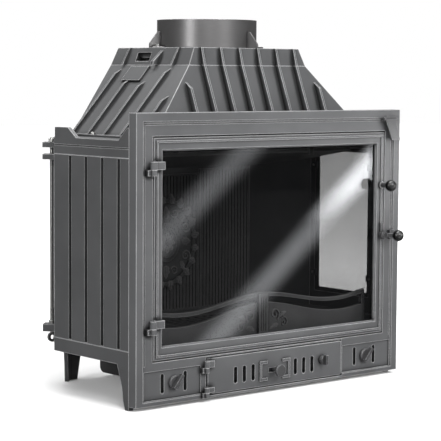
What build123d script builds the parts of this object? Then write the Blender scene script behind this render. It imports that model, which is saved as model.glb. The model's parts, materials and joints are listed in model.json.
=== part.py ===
"""Cast-iron fireplace insert with a glazed front door, a side window, a ribbed smoke hood and a flue collar.

Millimetres. X runs to the right as seen from the front, Y to the back, Z up from the floor. The pieces are
drawn with the flat of the front frame at Y = 0 and moved at the end, so that the origin lies on the floor
under the middle of the whole.
"""

from build123d import *

import os
from math import cos, pi, radians, sin, sqrt, tan

# Clearances
RUNNING = 0.05
PLAY = 0.2
LOOSE = 0.5

# Front frame casting
FRAME_WIDTH = 700.0
FRAME_HEIGHT = 552.0
FOOT_HEIGHT = 8.0
FRAME_PLATE = 10.0
FRAME_RETURN = 8.0
FRAME_STILE = 41.0
FRIEZE_HEIGHT = 44.0
LOWER_HEIGHT = 82.0
BAND_WIDTH = 16.0
BAND_BOTTOM = 8.0
BAND_PROUD = 2.5
BAND_BEVEL = 2.4
GROOVE_OFFSET = 21.5
GROOVE_WIDTH = 1.8
GROOVE_DEPTH = 1.2
LEDGE_THICK = 6.0
LEDGE_GAP = 2.0
OPENING_RETURN = 6.0

# Front door
DOOR_GAP = 3.0
DOOR_STILE = 22.0
DOOR_BOTTOM_RAIL = 26.0
DOOR_TOP_RAIL = 25.0
DOOR_PLATE = 7.0
DOOR_DEPTH = 12.0
DOOR_BEVEL = 3.0
MOULD_INSET = 5.0
MOULD_WIDTH = 4.5
MOULD_PROUD = 1.5
GLASS_THICK = 4.0
SEAL_WIDTH = 5.0
SEAL_INSET = 1.5
SEAL_GROOVE = 3.0
SEAL_GAP = 0.3
SEAL_LAND = 1.0
CLIP_WIDTH = 16.0
CLIP_THICK = 1.5
CLIP_REACH = 9.0
CLIP_RISE = 123.0
CLIP_RUN = 150.0
CLIP_HOOK = 3.0
SCREW_RADIUS = 1.5
SCREW_HEAD = 3.0
SCREW_HEAD_HEIGHT = 2.0
SCREW_DEPTH = 4.0

# Hinges of the front door
PIN_OUT = 8.0
PIN_PROUD = 9.0
PIN_RADIUS = 3.0
PIN_HEAD = 4.6
PIN_HEAD_HEIGHT = 1.6
KNUCKLE_RADIUS = 6.5
KNUCKLE_HEIGHT = 15.0
FRAME_KNUCKLE_HEIGHT = 11.0
LUG_THICK = 6.5
LUG_FOOT = 16.0
HINGE_FROM_TOP = 44.0
HINGE_FROM_BOTTOM = 62.5

# Pull knob and latch of the front door
BALL_RADIUS = 12.0
FURNITURE_INSET = 7.0
PULL_KNOB_DROP = 110.0
PULL_KNOB_PROUD = 28.0
PULL_BOSS_RADIUS = 7.5
PULL_BOSS_PROUD = 3.5
STEM_RADIUS = 5.0
STEM_TENON = 3.0
STUD_END = 1.0
LATCH_RISE = 205.0
LATCH_BALL_OUT = 18.0
LATCH_BALL_PROUD = 34.0
LATCH_SEAT_RADIUS = 6.8
LATCH_SEAT_PROUD = 2.5
LATCH_HUB_RADIUS = 8.0
LATCH_HUB_LENGTH = 9.4
LATCH_NOSE = 26.0
LATCH_NOSE_WIDTH = 9.0
LATCH_NOSE_THICK = 3.0
LATCH_ARM_HEIGHT = 8.0
LATCH_ARM_START = 2.0
LATCH_ARM_BEVEL = 1.0
LATCH_ARM_TIP = 3.0
LATCH_BALL_SEAT = 2.0
LATCH_STUD_RADIUS = 3.5
LATCH_STUD_HEAD = 6.0
LATCH_STUD_HEAD_HEIGHT = 2.8
KEEPER_PLATE = 2.0
KEEPER_WALL = 5.0
KEEPER_LIP = 7.0
KEEPER_HEIGHT = 20.0
KEEPER_GAP = 0.6

# Ash door with its air slots and slider
AIR_SLOT_FIRST = 57.0
AIR_SLOT_PITCH = 23.0
AIR_SLOT_WIDTH = 9.0
AIR_SLOT_HEIGHT = 33.0
AIR_SLOTS = 3
SLIDER_THICK = 2.0
SLIDER_MARGIN = 6.0
SLIDER_EDGE = 4.0
SLIDER_RAIL = 5.0
SLIDER_RAIL_LIP = 2.5
SLIDER_RAIL_THICK = 2.0
SLIDER_RAIL_SETBACK = 10.0
SLIDER_STEM = 4.0
SLIDER_TENON = 2.5
SLIDER_KNOB = 13.0
SLIDER_KNOB_THICK = 7.0
SLIDER_KNOB_PROUD = 14.0
KNOB_CHAMFER = 1.5
BRACKET_WIDTH = 21.0
BRACKET_HEIGHT = 40.0
BRACKET_BAR = 6.0
BRACKET_PROUD = 2.0
BRACKET_GAP = 4.3
ASH_DOOR_PROUD = 2.0
ASH_DOOR_THICK = 6.5
ASH_RECESS = 5.0
ASH_DOOR_INSET = 6.5
ASH_DOOR_DROP = 5.5
ASH_DOOR_GAP = 2.5
ASH_DOOR_LAP_LEFT = 24.0
ASH_DOOR_LAP_RIGHT = 35.0
ASH_DOOR_LAP_TOP = 4.5
ASH_DOOR_LAP_BOTTOM = 2.0

# Hinges and catch of the ash door
ASH_PIN_OUT = 6.0
ASH_PIN_PROUD = 7.0
ASH_PIN_RADIUS = 2.5
ASH_PIN_HEAD = 3.8
ASH_KNUCKLE_RADIUS = 5.0
ASH_UPPER_LUG = 13.0
ASH_LOWER_LUG = 10.0
ASH_UPPER_LUG_DROP = 3.5
ASH_LOWER_LUG_RISE = 4.5
ASH_FRAME_KNUCKLE = 9.8
ASH_LUG_THICK = 5.5
ASH_LUG_FOOT = 10.0
CATCH_SHAFT = 4.0
CATCH_TENON = 2.5
CATCH_KNOB = 9.0
CATCH_KNOB_THICK = 6.8
CATCH_BOSS = 8.0
CATCH_BOSS_PROUD = 3.0
CATCH_GRIP = 10.0
CATCH_GRIP_HALF = 2.5
CATCH_GRIP_PROUD = 8.0
CATCH_GRIP_ROOT = 2.5
CAM_LENGTH = 24.0
CAM_TAIL = 6.0
CAM_HALF = 5.0
CAM_THICK = 3.0
CAM_GAP = 0.5
CAM_LAP = 4.0
CAM_ROOM = 4.0

# Rotary air regulators
PANEL_SIDE = 21.0
PANEL_GAP = 6.0
PANEL_RISE = 9.5
PANEL_DROP = 17.0
PANEL_DEPTH = 1.5
REGULATOR_SHIFT = 4.0
REGULATOR_EDGE = 8.0
REGULATOR_SLOT_WIDTH = 8.0
REGULATOR_SLOT_HEIGHT = 38.0
SHUTTER_SLOT_HEIGHT = 30.0
SHUTTER_MARGIN = 3.5
SHUTTER_THICK = 2.0
REGULATOR_KNOB = 14.0
REGULATOR_KNOB_THICK = 7.0
REGULATOR_GRIP_HALF = 3.0
REGULATOR_GRIP_PROUD = 8.0
REGULATOR_GRIP_TAIL = 5.0
REGULATOR_GRIP_EDGE = 1.0
REGULATOR_GRIP_ANGLE = 40.0
REGULATOR_SHAFT = 4.0
REGULATOR_TENON = 2.5
REGULATOR_RELIEF = 0.3

# Firebox shell
SIDE_DEPTH = 262.0
BODY_DEPTH = 364.0
WALL = 8.0
SKIRT_HEIGHT = 27.0
FLOOR_THICK = 8.0
FLOOR_RISE = 22.0
RIM_HEIGHT = 33.0
RIM_DROP = 52.0
WALL_GROOVE_EDGE = 54.5
WALL_GROOVE_PITCH = 52.0
WALL_GROOVE_WIDTH = 9.0
WALL_GROOVE_DEPTH = 4.0
WALL_GROOVE_END = 2.0
LEG_THICK = 8.0
LEG_ROOT = 4.0
FRONT_LEG = ((1.0, 36.0), (0.52, 21.0), (0.21, 17.0), (0.0, 11.0))
REAR_LEG = ((1.0, 40.0), (0.52, 29.0), (0.0, 22.0))
GRATE_WIDTH = 220.0
GRATE_DEPTH = 170.0
GRATE_SETBACK = 75.0
GRATE_LEDGE = 6.0
GRATE_BORDER = 12.0
GRATE_BARS = 9
GRATE_SLOT = 10.0
HEARTH_THICK = 10.0
HEARTH_SETBACK = 30.0
HEARTH_SIDE_GAP = 10.0
HEARTH_CORNER = 4.0

# Ash box and pan
ASH_BOX_SIDE = 18.0
ASH_BOX_RISE = 1.5
ASH_BOX_WALL = 3.0
ASH_BOX_HEEL = 13.0
PAN_SIDE_GAP = 5.0
PAN_HEIGHT = 55.0
PAN_WALL = 2.0
PAN_FRONT_GAP = 8.0
PAN_BACK_GAP = 36.0
PAN_LIP_HALF = 40.0
PAN_LIP = 5.0
PAN_LIP_HEIGHT = 6.0

# Side window
WINDOW_SETBACK = 62.0
WINDOW_REAR = 25.0
WINDOW_RISE = 48.0
WINDOW_DROP = 7.0
WINDOW_CORNER = 10.0
WINDOW_LIP = 3.0
WINDOW_LAP = 5.5
WINDOW_SEAL = 1.0
WINDOW_CLIP_RISE = 40.0
WINDOW_CLIP_WIDTH = 14.0
WINDOW_CLIP_REACH = 6.0
WINDOW_CLIP_FOOT = 10.0
WINDOW_SCREW_OUT = 5.0

# Linings
FIREBACK_THICK = 7.0
FIREBACK_WIDTH = 189.0
FIREBACK_JOINT = 3.0
FIREBACK_END = 4.0
FIREBACK_DROP = 48.0
FIREBACK_STEP = 9.0
FINE_RIB_PITCH = 9.0
FINE_RIB_GAP = 3.5
FINE_RIB_DEPTH = 2.0
FINE_RIB_MARGIN = 4.0
CREST_HALF_WIDTH = 80.0
CREST_HALF_HEIGHT = 93.0
CREST_RISE = 160.0
CREST_PROUD = 5.0
CREST_FIELD = 2.5
CREST_RIM = 8.0
BOSS_HALF_WIDTH = 36.0
BOSS_HALF_HEIGHT = 42.0
BOSS_STEP = 9.0
BOSS_PROUD = 2.0
LINING_THICK = 8.0
LINING_GAP = 1.0
LINING_FRONT_GAP = 2.0
LINING_REAR_GAP = 6.0
LINING_DROP = 15.0
LINING_RIB_GAP = 6.0
LINING_RIB_DEPTH = 2.5
LINING_RIB_MARGIN = 6.0

# Log guard
GUARD_SETBACK = 16.0
GUARD_THICK = 8.0
GUARD_SIDE_GAP = 60.0
GUARD_HEIGHT = 71.5
GUARD_WAVE = 12.0
GUARD_WAVELENGTH = 400.0
GUARD_BAR = 7.5
GUARD_SLOT = 11.5
GUARD_SLOT_GROWTH = 0.04
GUARD_END = 8.0
GUARD_POST_HALF = 12.0
GUARD_POST_PROUD = 4.0
GUARD_POST_DROP = 2.0
GUARD_POST_LAP = 2.0
GUARD_FLUTE_PITCH = 6.0
GUARD_FLUTE = 2.0
GUARD_FLUTE_MARGIN = 6.0

# Top plate
TOP_THICK = 8.0
RIM_LINE_RISE = 17.0
RIM_LINE_WIDTH = 2.0
RIM_LINE_DEPTH = 1.2
FRONT_UPSTAND = 24.0
FRONT_UPSTAND_TOP = 6.0
FRONT_UPSTAND_FOOT = 34.0
REAR_UPSTAND = 19.5
REAR_UPSTAND_TOP = 44.0
REAR_UPSTAND_FOOT = 73.0
REAR_UPSTAND_GAP = 3.0
UPSTAND_ROOT = 1.0

# Damper
DAMPER_TRAVEL = 75.0
DAMPER_DROP = 19.0
DAMPER_ROD_RADIUS = 4.0
DAMPER_PLATE_THICK = 6.0
DAMPER_PLATE_DEPTH = 82.0
DAMPER_PLATE_SETBACK = 23.0
DAMPER_PLATE_GAP = 4.0
DAMPER_LUG = 20.0
DAMPER_ARM_DEPTH = 14.0
DAMPER_ARM_HALF = 3.0
DAMPER_ARM_GAP = 9.0
DAMPER_SLOT_HALF = 4.5
DAMPER_FOOT_HALF = 6.0
CHANNEL_HALF = 10.0
CHANNEL_WALL = 4.0
CHANNEL_END = 3.0
CHANNEL_BACK = 8.0
CHANNEL_RISE = 6.0
STOP_RADIUS = 6.5
STOP_THICK = 3.3
TAB_BARREL = 4.5
TAB_BARREL_HALF = 18.0
TAB_BARREL_GAP = 3.0
TAB_THICK = 3.0
TAB_DROP = 44.0
TAB_TOP_HALF = 14.5
TAB_SLANT_LEFT = 20.0
TAB_SLANT_RIGHT = 15.5
RAIL_INSET = 52.0
RAIL_HALF = 6.0
RAIL_HEIGHT = 8.8
RAIL_LUG = 12.0
RAIL_LUG_SEAT = 8.0
HOOK_THICK = 5.0
HOOK_REACH = 14.0

# Smoke baffle
BAFFLE_SETBACK = 100.0
BAFFLE_BACK_GAP = 10.0
BAFFLE_SIDE_GAP = 14.0
BAFFLE_CORNER_GAP = 16.0
BAFFLE_THICK = 8.0
BAFFLE_DROP = 5.0
SUPPORT_X = 160.0
SUPPORT_HALF = 6.0
SUPPORT_HEIGHT = 4.0
SUPPORT_REACH = 15.0
SUPPORT_BAR = 1.6
SUPPORT_BAR_LENGTH = 50.0

# Smoke hood and collar
FLUE_RADIUS = 100.0
FLUE_TO_BACK = 149.5
COLLAR_WALL = 2.5
COLLAR_HEIGHT = 57.5
HOOD_SIDE_SETBACK = 65.0
HOOD_FRONT_SETBACK = 14.0
HOOD_BACK_SETBACK = 10.0
HOOD_CORNER_SETBACK = 33.0
HOOD_LOWER_RISE = 141.5
HOOD_UPPER_RISE = 35.0
HOOD_SEAM_SIDE = 16.0
HOOD_SEAM_END = 4.0
HOOD_TOP_SIDE = 36.5
HOOD_TOP_END = 25.0
HOOD_TOP_CHAMFER = 10.0
HOOD_WALL = 6.0
HOOD_TOP_THICK = 7.0
HOOD_LIP = 2.0
HOOD_HOLE_SIDE = 23.0
HOOD_HOLE_END = 18.0
HOOD_HOLE_EASE = 15.0
FLANGE_SIDE = 14.0
FLANGE_FRONT = 6.0
FLANGE_BACK = 8.0
FLANGE_THICK = 5.0
FLANGE_GAP = 3.0
FIN_THICK = 5.0
FIN_ROOT = 4.0
FRONT_FIN_EDGE = 10.5
FRONT_FIN_TOE = 2.0
FRONT_FIN_TOE_HEIGHT = 16.0
FRONT_FIN_KNEE = 4.5
FRONT_FIN_KNEE_HEIGHT = 57.0
FRONT_FIN_TIP = 4.5
FRONT_FIN_MARGIN = 8.0
FRONT_FINS = 3
SHORT_FIN_DROP = 30.5
SHORT_FIN_SLOPE = 14.0
SIDE_FIN_START = 44.0
SIDE_FIN_END = 4.0
SIDE_FIN_FOOT = 8.0
SIDE_FIN_EDGE = 10.0
SIDE_FIN_TIP = 4.0
SIDE_FIN_SLOPE = 12.0
SIDE_FIN_DROPS = (56.5, 3.0, 29.5, 24.5, 5.0)
NAME_PLATE_PROUD = 5.0
NAME_PLATE_HEIGHT = 28.0
NAME_PLATE_DROP = 2.5
NAME_PLATE_FRONT = 16.0
NAME_PLATE_BACK = 22.0
POCKET_HALF = 22.0
POCKET_RISE = 8.0
POCKET_DROP = 10.0
POCKET_FLOOR = 1.0
POCKET_BACKING = 4.0
GUSSET_THICK = 8.0
GUSSET_REACH = 14.0
GUSSET_TAPER = 2.0
COLLAR_LUG_ANGLES = (43.5, 163.5, 283.5)
LUG_REACH = 25.0
LUG_HEIGHT = 33.0
LUG_TOE = 9.0
LUG_TOP = 7.0
GUSSET_PLATE = 3.0
LUG_FOOT_WIDTH = 20.0
LUG_BOLT_OUT = 13.0
LUG_BOLT_SIDE = 11.0

# Bolts, tie rods and cleats
BOLT_RADIUS = 3.0
BOLT_ACROSS = 10.0
BOLT_HEAD = 4.5
TIE_ROD_RADIUS = 4.0
TIE_ROD_OFFSET = 17.0
TIE_ROD_END = 9.0
TIE_NUT_ACROSS = 13.0
TIE_NUT_HEIGHT = 6.5
EYE_RADIUS = 10.0
EYE_HOLE = 5.0
EYE_THICK = 5.0
EYE_DROP = 12.5
EAR_REACH = 34.0
EAR_WIDTH = 26.0
EAR_THICK = 11.0
EAR_ROOT = 4.0
UPPER_EAR_DROP = 24.0
PANEL_EAR_DROP = 15.0
LOWER_EAR_RISE = 1.0
LOWER_EAR_THICK = 15.0
EAR_WEB_HALF = 5.0
EAR_WEB_REACH = 8.0
CLEAT_LEG = 20.0
CLEAT_FOOT = 22.0
CLEAT_THICK = 5.0
CLEAT_HALF = 14.0
CLEAT_BOLT = 13.0
CLEAT_RISE = 28.0
CLEAT_DROP = 30.0

# Front frame and front door, worked out
HALF = FRAME_WIDTH / 2
FRAME_BOTTOM = FOOT_HEIGHT
FRAME_TOP = FRAME_BOTTOM + FRAME_HEIGHT
OPENING_HALF = HALF - FRAME_STILE
OPENING_BOTTOM = FRAME_BOTTOM + LOWER_HEIGHT
OPENING_TOP = FRAME_TOP - FRIEZE_HEIGHT
LEDGE_FRONT = DOOR_DEPTH + LEDGE_GAP
FRAME_DEPTH = LEDGE_FRONT + LEDGE_THICK
LEDGE_WIDTH = DOOR_GAP + SEAL_INSET + SEAL_WIDTH + SEAL_LAND
DOOR_HALF = OPENING_HALF - DOOR_GAP
DOOR_BOTTOM = OPENING_BOTTOM + DOOR_GAP
DOOR_TOP = OPENING_TOP - DOOR_GAP
CLIP_SCREW_INSET = SEAL_INSET + SEAL_WIDTH + 2 * SCREW_HEAD
DOOR_RIDGE = CLIP_SCREW_INSET + SCREW_HEAD
SIGHT_HALF = DOOR_HALF - DOOR_STILE
SIGHT_BOTTOM = DOOR_BOTTOM + DOOR_BOTTOM_RAIL
SIGHT_TOP = DOOR_TOP - DOOR_TOP_RAIL
PIN_X = -(DOOR_HALF + PIN_OUT)
PIN_Y = -PIN_PROUD
KNUCKLE_BASES = (DOOR_TOP - HINGE_FROM_TOP - KNUCKLE_HEIGHT, DOOR_BOTTOM + HINGE_FROM_BOTTOM)
FURNITURE_X = DOOR_HALF - FURNITURE_INSET
PULL_KNOB_Z = DOOR_TOP - PULL_KNOB_DROP
LATCH_Z = DOOR_BOTTOM + LATCH_RISE
LATCH_BACK = -(LATCH_SEAT_PROUD + PLAY / 2)
LATCH_FRONT = LATCH_BACK - LATCH_HUB_LENGTH
KNOB_REACH = LATCH_BALL_PROUD + BALL_RADIUS

# Ash door, worked out from its slots outwards
SLIDER_TRAVEL = AIR_SLOT_PITCH / 2
SLIDER_HALF = AIR_SLOT_FIRST + (AIR_SLOTS - 1) * AIR_SLOT_PITCH + AIR_SLOT_WIDTH / 2 + SLIDER_MARGIN
CATCH_X = SLIDER_HALF + SLIDER_TRAVEL + CATCH_SHAFT + 2 * LOOSE
ASH_OPENING_HALF = CATCH_X + CAM_LENGTH - CAM_LAP
ASH_LEFT = -(ASH_OPENING_HALF + ASH_DOOR_LAP_LEFT)
ASH_RIGHT = ASH_OPENING_HALF + ASH_DOOR_LAP_RIGHT
ASH_BOTTOM = FRAME_BOTTOM + ASH_DOOR_INSET
ASH_TOP = OPENING_BOTTOM - ASH_DOOR_DROP
ASH_FRONT = -ASH_DOOR_PROUD
ASH_BACK = ASH_FRONT + ASH_DOOR_THICK
ASH_OPENING_BOTTOM = ASH_BOTTOM + ASH_DOOR_LAP_BOTTOM
ASH_OPENING_TOP = ASH_TOP - ASH_DOOR_LAP_TOP
RAIL_OFFSET = AIR_SLOT_HEIGHT / 2 + SLIDER_EDGE + PLAY
AIR_SLOT_Z = ASH_OPENING_BOTTOM + SLIDER_RAIL_LIP + RAIL_OFFSET + SLIDER_RAIL + PLAY
CATCH_Z = ASH_OPENING_TOP - CAM_ROOM - CAM_LENGTH
CAM_FRONT = FRAME_PLATE + CAM_GAP
ASH_PIN_X = ASH_LEFT - ASH_PIN_OUT
ASH_PIN_Y = -ASH_PIN_PROUD
ASH_KNUCKLES = (
    (ASH_TOP - ASH_UPPER_LUG_DROP - ASH_UPPER_LUG, ASH_UPPER_LUG),
    (ASH_BOTTOM + ASH_LOWER_LUG_RISE, ASH_LOWER_LUG),
)

# Regulators, worked out
PANEL_INNER = ASH_RIGHT + PANEL_GAP
PANEL_OUTER = HALF - PANEL_SIDE
PANEL_BOTTOM = FRAME_BOTTOM + PANEL_RISE
PANEL_TOP = OPENING_BOTTOM - PANEL_DROP
SHUTTER_RADIUS = (LOWER_HEIGHT - OPENING_RETURN - LOOSE - SHUTTER_MARGIN) / 2
REGULATOR_X = (PANEL_INNER + PANEL_OUTER) / 2 - REGULATOR_SHIFT
REGULATOR_Z = FRAME_BOTTOM + SHUTTER_MARGIN + SHUTTER_RADIUS
REGULATOR_SLOT = SHUTTER_RADIUS - REGULATOR_EDGE

# Firebox, worked out
CORNER_CUT = BODY_DEPTH - SIDE_DEPTH
BACK_HALF = HALF - CORNER_CUT
BACK_INSIDE = BODY_DEPTH - WALL
CORNER_SLANT = tan(radians(22.5))
FLOOR_TOP = OPENING_BOTTOM + FLOOR_RISE
SKIRT_BOTTOM = FLOOR_TOP - SKIRT_HEIGHT
FLOOR_UNDER = FLOOR_TOP - FLOOR_THICK
RIM_TOP = FRAME_TOP - RIM_DROP
WALL_TOP = RIM_TOP - RIM_HEIGHT
TOP_UNDER = RIM_TOP - TOP_THICK
GRATE_HALF = GRATE_WIDTH / 2
GRATE_FRONT = FRAME_DEPTH + GRATE_SETBACK
GRATE_BACK = GRATE_FRONT + GRATE_DEPTH
HEARTH_TOP = FLOOR_TOP + HEARTH_THICK
ASH_BOX_BOTTOM = FOOT_HEIGHT + ASH_BOX_RISE
ASH_BOX_HALF = ASH_OPENING_HALF + ASH_BOX_SIDE
WINDOW_FRONT = FRAME_DEPTH + WINDOW_SETBACK
WINDOW_BACK = SIDE_DEPTH - WINDOW_REAR
WINDOW_BOTTOM = FLOOR_TOP + WINDOW_RISE
WINDOW_TOP = WALL_TOP - WINDOW_DROP
FIREBACK_FRONT = BACK_INSIDE - FIREBACK_THICK
FIREBACK_SIDE_TOP = WALL_TOP - FIREBACK_DROP
FIREBACK_TOP = FIREBACK_SIDE_TOP - FIREBACK_STEP
CREST_Z = FLOOR_TOP + CREST_RISE
UPPER_EAR = RIM_TOP - UPPER_EAR_DROP
PANEL_EAR = WALL_TOP - PANEL_EAR_DROP
LOWER_EAR = FLOOR_TOP + LOWER_EAR_RISE

# Hood, baffle and damper, worked out
FLUE_Y = BODY_DEPTH - FLUE_TO_BACK
COLLAR_RADIUS = FLUE_RADIUS + COLLAR_WALL
HOOD_TOP_HALF = COLLAR_RADIUS + HOOD_TOP_SIDE
HOOD_TOP_FRONT = FLUE_Y - COLLAR_RADIUS - HOOD_TOP_END
HOOD_TOP_BACK = FLUE_Y + COLLAR_RADIUS + HOOD_TOP_END
HOOD_SEAM_HALF = HOOD_TOP_HALF + HOOD_SEAM_SIDE
HOOD_SEAM_FRONT = HOOD_TOP_FRONT - HOOD_SEAM_END
HOOD_SEAM_BACK = HOOD_TOP_BACK + HOOD_SEAM_END
HOOD_BASE_HALF = HALF - HOOD_SIDE_SETBACK
HOOD_BASE_FRONT = FRAME_DEPTH + HOOD_FRONT_SETBACK
HOOD_BASE_BACK = BODY_DEPTH - HOOD_BACK_SETBACK
HOOD_BASE_CHAMFER = HOOD_BASE_HALF + HOOD_BASE_BACK - (HALF + SIDE_DEPTH - HOOD_CORNER_SETBACK)
HOOD_SEAM_Z = RIM_TOP + HOOD_LOWER_RISE
HOOD_TOP_Z = HOOD_SEAM_Z + HOOD_UPPER_RISE
COLLAR_TOP = HOOD_TOP_Z + COLLAR_HEIGHT
HOOD_HOLE_HALF = HOOD_BASE_HALF - HOOD_HOLE_SIDE
HOOD_HOLE_FRONT = HOOD_BASE_FRONT + HOOD_HOLE_END
HOOD_HOLE_BACK = HOOD_BASE_BACK - HOOD_HOLE_END
HOOD_HOLE_CORNER = HOOD_BASE_CHAMFER - HOOD_HOLE_EASE
FRONT_FIN_PITCH = (HOOD_SEAM_HALF - FRONT_FIN_MARGIN) / FRONT_FINS
SIDE_FIN_FIRST = HOOD_BASE_FRONT + SIDE_FIN_START
SIDE_FIN_LAST = HOOD_BASE_BACK - HOOD_BASE_CHAMFER - SIDE_FIN_END
SIDE_FIN_PITCH = (SIDE_FIN_LAST - SIDE_FIN_FIRST) / (len(SIDE_FIN_DROPS) - 1)
DAMPER_X = HOOD_BASE_HALF + FLANGE_SIDE + FLANGE_GAP + CHANNEL_HALF
DAMPER_Z = FRAME_TOP - DAMPER_DROP
DAMPER_TOP = TOP_UNDER - DAMPER_PLATE_GAP
DAMPER_LOW = DAMPER_TOP - DAMPER_PLATE_THICK
DAMPER_PLATE_HALF = HOOD_HOLE_HALF - DAMPER_PLATE_GAP
DAMPER_PLATE_FRONT = HOOD_HOLE_FRONT + DAMPER_TRAVEL + DAMPER_PLATE_SETBACK
DAMPER_ARM_Y = FRAME_DEPTH + DAMPER_TRAVEL + DAMPER_ARM_GAP
RAIL_X = DAMPER_PLATE_HALF - RAIL_INSET
BAFFLE_HALF = HALF - WALL - BAFFLE_SIDE_GAP
BAFFLE_FRONT = FRAME_DEPTH + BAFFLE_SETBACK
BAFFLE_BACK = BACK_INSIDE - BAFFLE_BACK_GAP
BAFFLE_REAR_Z = FIREBACK_SIDE_TOP + SUPPORT_HEIGHT
BAFFLE_FRONT_Z = WALL_TOP - BAFFLE_DROP
FRONT_SHIFT = -(BODY_DEPTH - KNOB_REACH) / 2

PARTS = {}


def keep(name, shape):
    """Files a finished piece under its name."""
    PARTS[name] = shape


def block(x0, x1, y0, y1, z0, z1):
    """A box given by its six limits."""
    return Pos((x0 + x1) / 2, (y0 + y1) / 2, (z0 + z1) / 2) * Box(abs(x1 - x0), abs(y1 - y0), abs(z1 - z0))


def round_x(x0, x1, y, z, radius):
    """A cylinder along X."""
    return Pos((x0 + x1) / 2, y, z) * Rot(0, 90, 0) * Cylinder(radius, abs(x1 - x0))


def round_y(x, y0, y1, z, radius):
    """A cylinder along Y."""
    return Pos(x, (y0 + y1) / 2, z) * Rot(90, 0, 0) * Cylinder(radius, abs(y1 - y0))


def round_z(x, y, z0, z1, radius):
    """A cylinder along Z."""
    return Pos(x, y, (z0 + z1) / 2) * Cylinder(radius, abs(z1 - z0))


def prism_x(points, x0, x1):
    """A polygon of (y, z) points drawn out along X."""
    outline = make_face(Polyline(*[(x0, y, z) for y, z in points], close=True))
    return extrude(outline, amount=x1 - x0, dir=(1, 0, 0))


def prism_y(points, y0, y1):
    """A polygon of (x, z) points drawn out along Y."""
    outline = make_face(Polyline(*[(x, y0, z) for x, z in points], close=True))
    return extrude(outline, amount=y1 - y0, dir=(0, 1, 0))


def prism_z(points, z0, z1):
    """A polygon of (x, y) points drawn out along Z."""
    outline = make_face(Polyline(*[(x, y, z0) for x, y in points], close=True))
    return extrude(outline, amount=z1 - z0, dir=(0, 0, 1))


def mirrored(shape):
    """The same piece on the other side of the middle."""
    return mirror(shape, about=Plane.YZ)


def hexagon(half, front, back, chamfer):
    """Plan outline with square front corners and cut-off rear corners."""
    return [
        (-half, front),
        (half, front),
        (half, back - chamfer),
        (half - chamfer, back),
        (-(half - chamfer), back),
        (-half, back - chamfer),
    ]


def shell_plan(inset):
    """Plan outline of the firebox shell, moved inwards by inset everywhere but at the front."""
    back = BODY_DEPTH - inset
    side_end = SIDE_DEPTH - inset * CORNER_SLANT
    return hexagon(HALF - inset, FRAME_DEPTH, back, back - side_end)


def lofted(lower, upper):
    """Straight-sided solid between two plan outlines, each a list of points and its height."""
    faces = [make_face(Polyline(*[(x, y, z) for x, y in points], close=True)) for points, z in (lower, upper)]
    return loft(faces, ruled=True)


def bevelled_window(half, bottom, top, bevel, y0, y1):
    """Cutter for a rectangular window that narrows by bevel from y0 to y1."""
    faces = []
    for y, inset in ((y0, 0.0), (y1, bevel)):
        x, low, high = half - inset, bottom + inset, top - inset
        faces.append(make_face(Polyline((-x, y, low), (x, y, low), (x, y, high), (-x, y, high), close=True)))
    return loft(faces, ruled=True)


def ring_y(half, bottom, top, width, y0, y1):
    """Rectangular ring in the plane of the front, of the width given."""
    outer = block(-half, half, y0, y1, bottom, top)
    return outer - block(-half + width, half - width, y0, y1, bottom + width, top - width)


def slot_y(x, z, width, height, y0, y1):
    """Upright slot with round ends, cut along Y."""
    straight = height / 2 - width / 2
    body = block(x - width / 2, x + width / 2, y0, y1, z - straight, z + straight)
    return body + round_y(x, y0, y1, z + straight, width / 2) + round_y(x, y0, y1, z - straight, width / 2)


def hexagon_head(x, y, z, across, height, axis):
    """Hexagon bolt head or nut; its base lies at the point given and it rises along the axis."""
    head = extrude(RegularPolygon(across / sqrt(3), 6), amount=height)
    turn = {"+z": Rot(0, 0, 0), "+y": Rot(-90, 0, 0)}[axis]
    return Pos(x, y, z) * turn * head


def oval_y(x, y0, y1, z, half_width, half_height):
    """An upright oval drawn out along Y."""
    oval = extrude(Ellipse(half_width, half_height), amount=abs(y1 - y0))
    return Pos(x, max(y0, y1), z) * Rot(90, 0, 0) * oval


def knob_y(x, front, back, z, radius):
    """Round disc knob along Y with bevelled rims."""
    disc = round_y(x, front, back, z, radius)
    return chamfer(disc.edges().filter_by(GeomType.CIRCLE), KNOB_CHAMFER)


def ball(x, y, z, radius):
    """Round knob."""
    return Pos(x, y, z) * Sphere(radius)


def edge_return():
    """Flange behind the frame's outer edge, at its sides and top."""
    rim = block(-HALF, HALF, FRAME_PLATE, FRAME_DEPTH, FRAME_BOTTOM, FRAME_TOP)
    inner = HALF - FRAME_RETURN
    return rim - block(-inner, inner, FRAME_PLATE, FRAME_DEPTH, FRAME_BOTTOM, FRAME_TOP - FRAME_RETURN)


def raised_band():
    """Raised outer band of the frame with its bevelled inner edge."""
    band = block(-HALF, HALF, -BAND_PROUD, 0, FRAME_BOTTOM, FRAME_TOP)
    return band - bevelled_window(
        HALF - BAND_WIDTH, FRAME_BOTTOM + BAND_BOTTOM, FRAME_TOP - BAND_WIDTH, BAND_BEVEL, -BAND_PROUD, 0)


def frame_groove():
    """Cutter for the fine groove that runs up both sides and across the top of the frame's flat."""
    x = HALF - GROOVE_OFFSET
    bottom = OPENING_BOTTOM - OPENING_RETURN
    top = FRAME_TOP - GROOVE_OFFSET
    half = GROOVE_WIDTH / 2
    cutter = block(-x - half, x + half, 0, GROOVE_DEPTH, bottom, top + half)
    return cutter - block(-x + half, x - half, 0, GROOVE_DEPTH, bottom, top - half)


def frame_knuckle(x, y, z0, z1, radius, bore, edge):
    """Hinge knuckle on the frame's face, with a foot that ends just outside the opening's edge."""
    knuckle = round_z(x, y, z0, z1, radius)
    knuckle += block(x - 2 * radius, edge - 2 * LOOSE, y, 0, z0, z1)
    return knuckle - round_z(x, y, z0, z1, bore)


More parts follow.
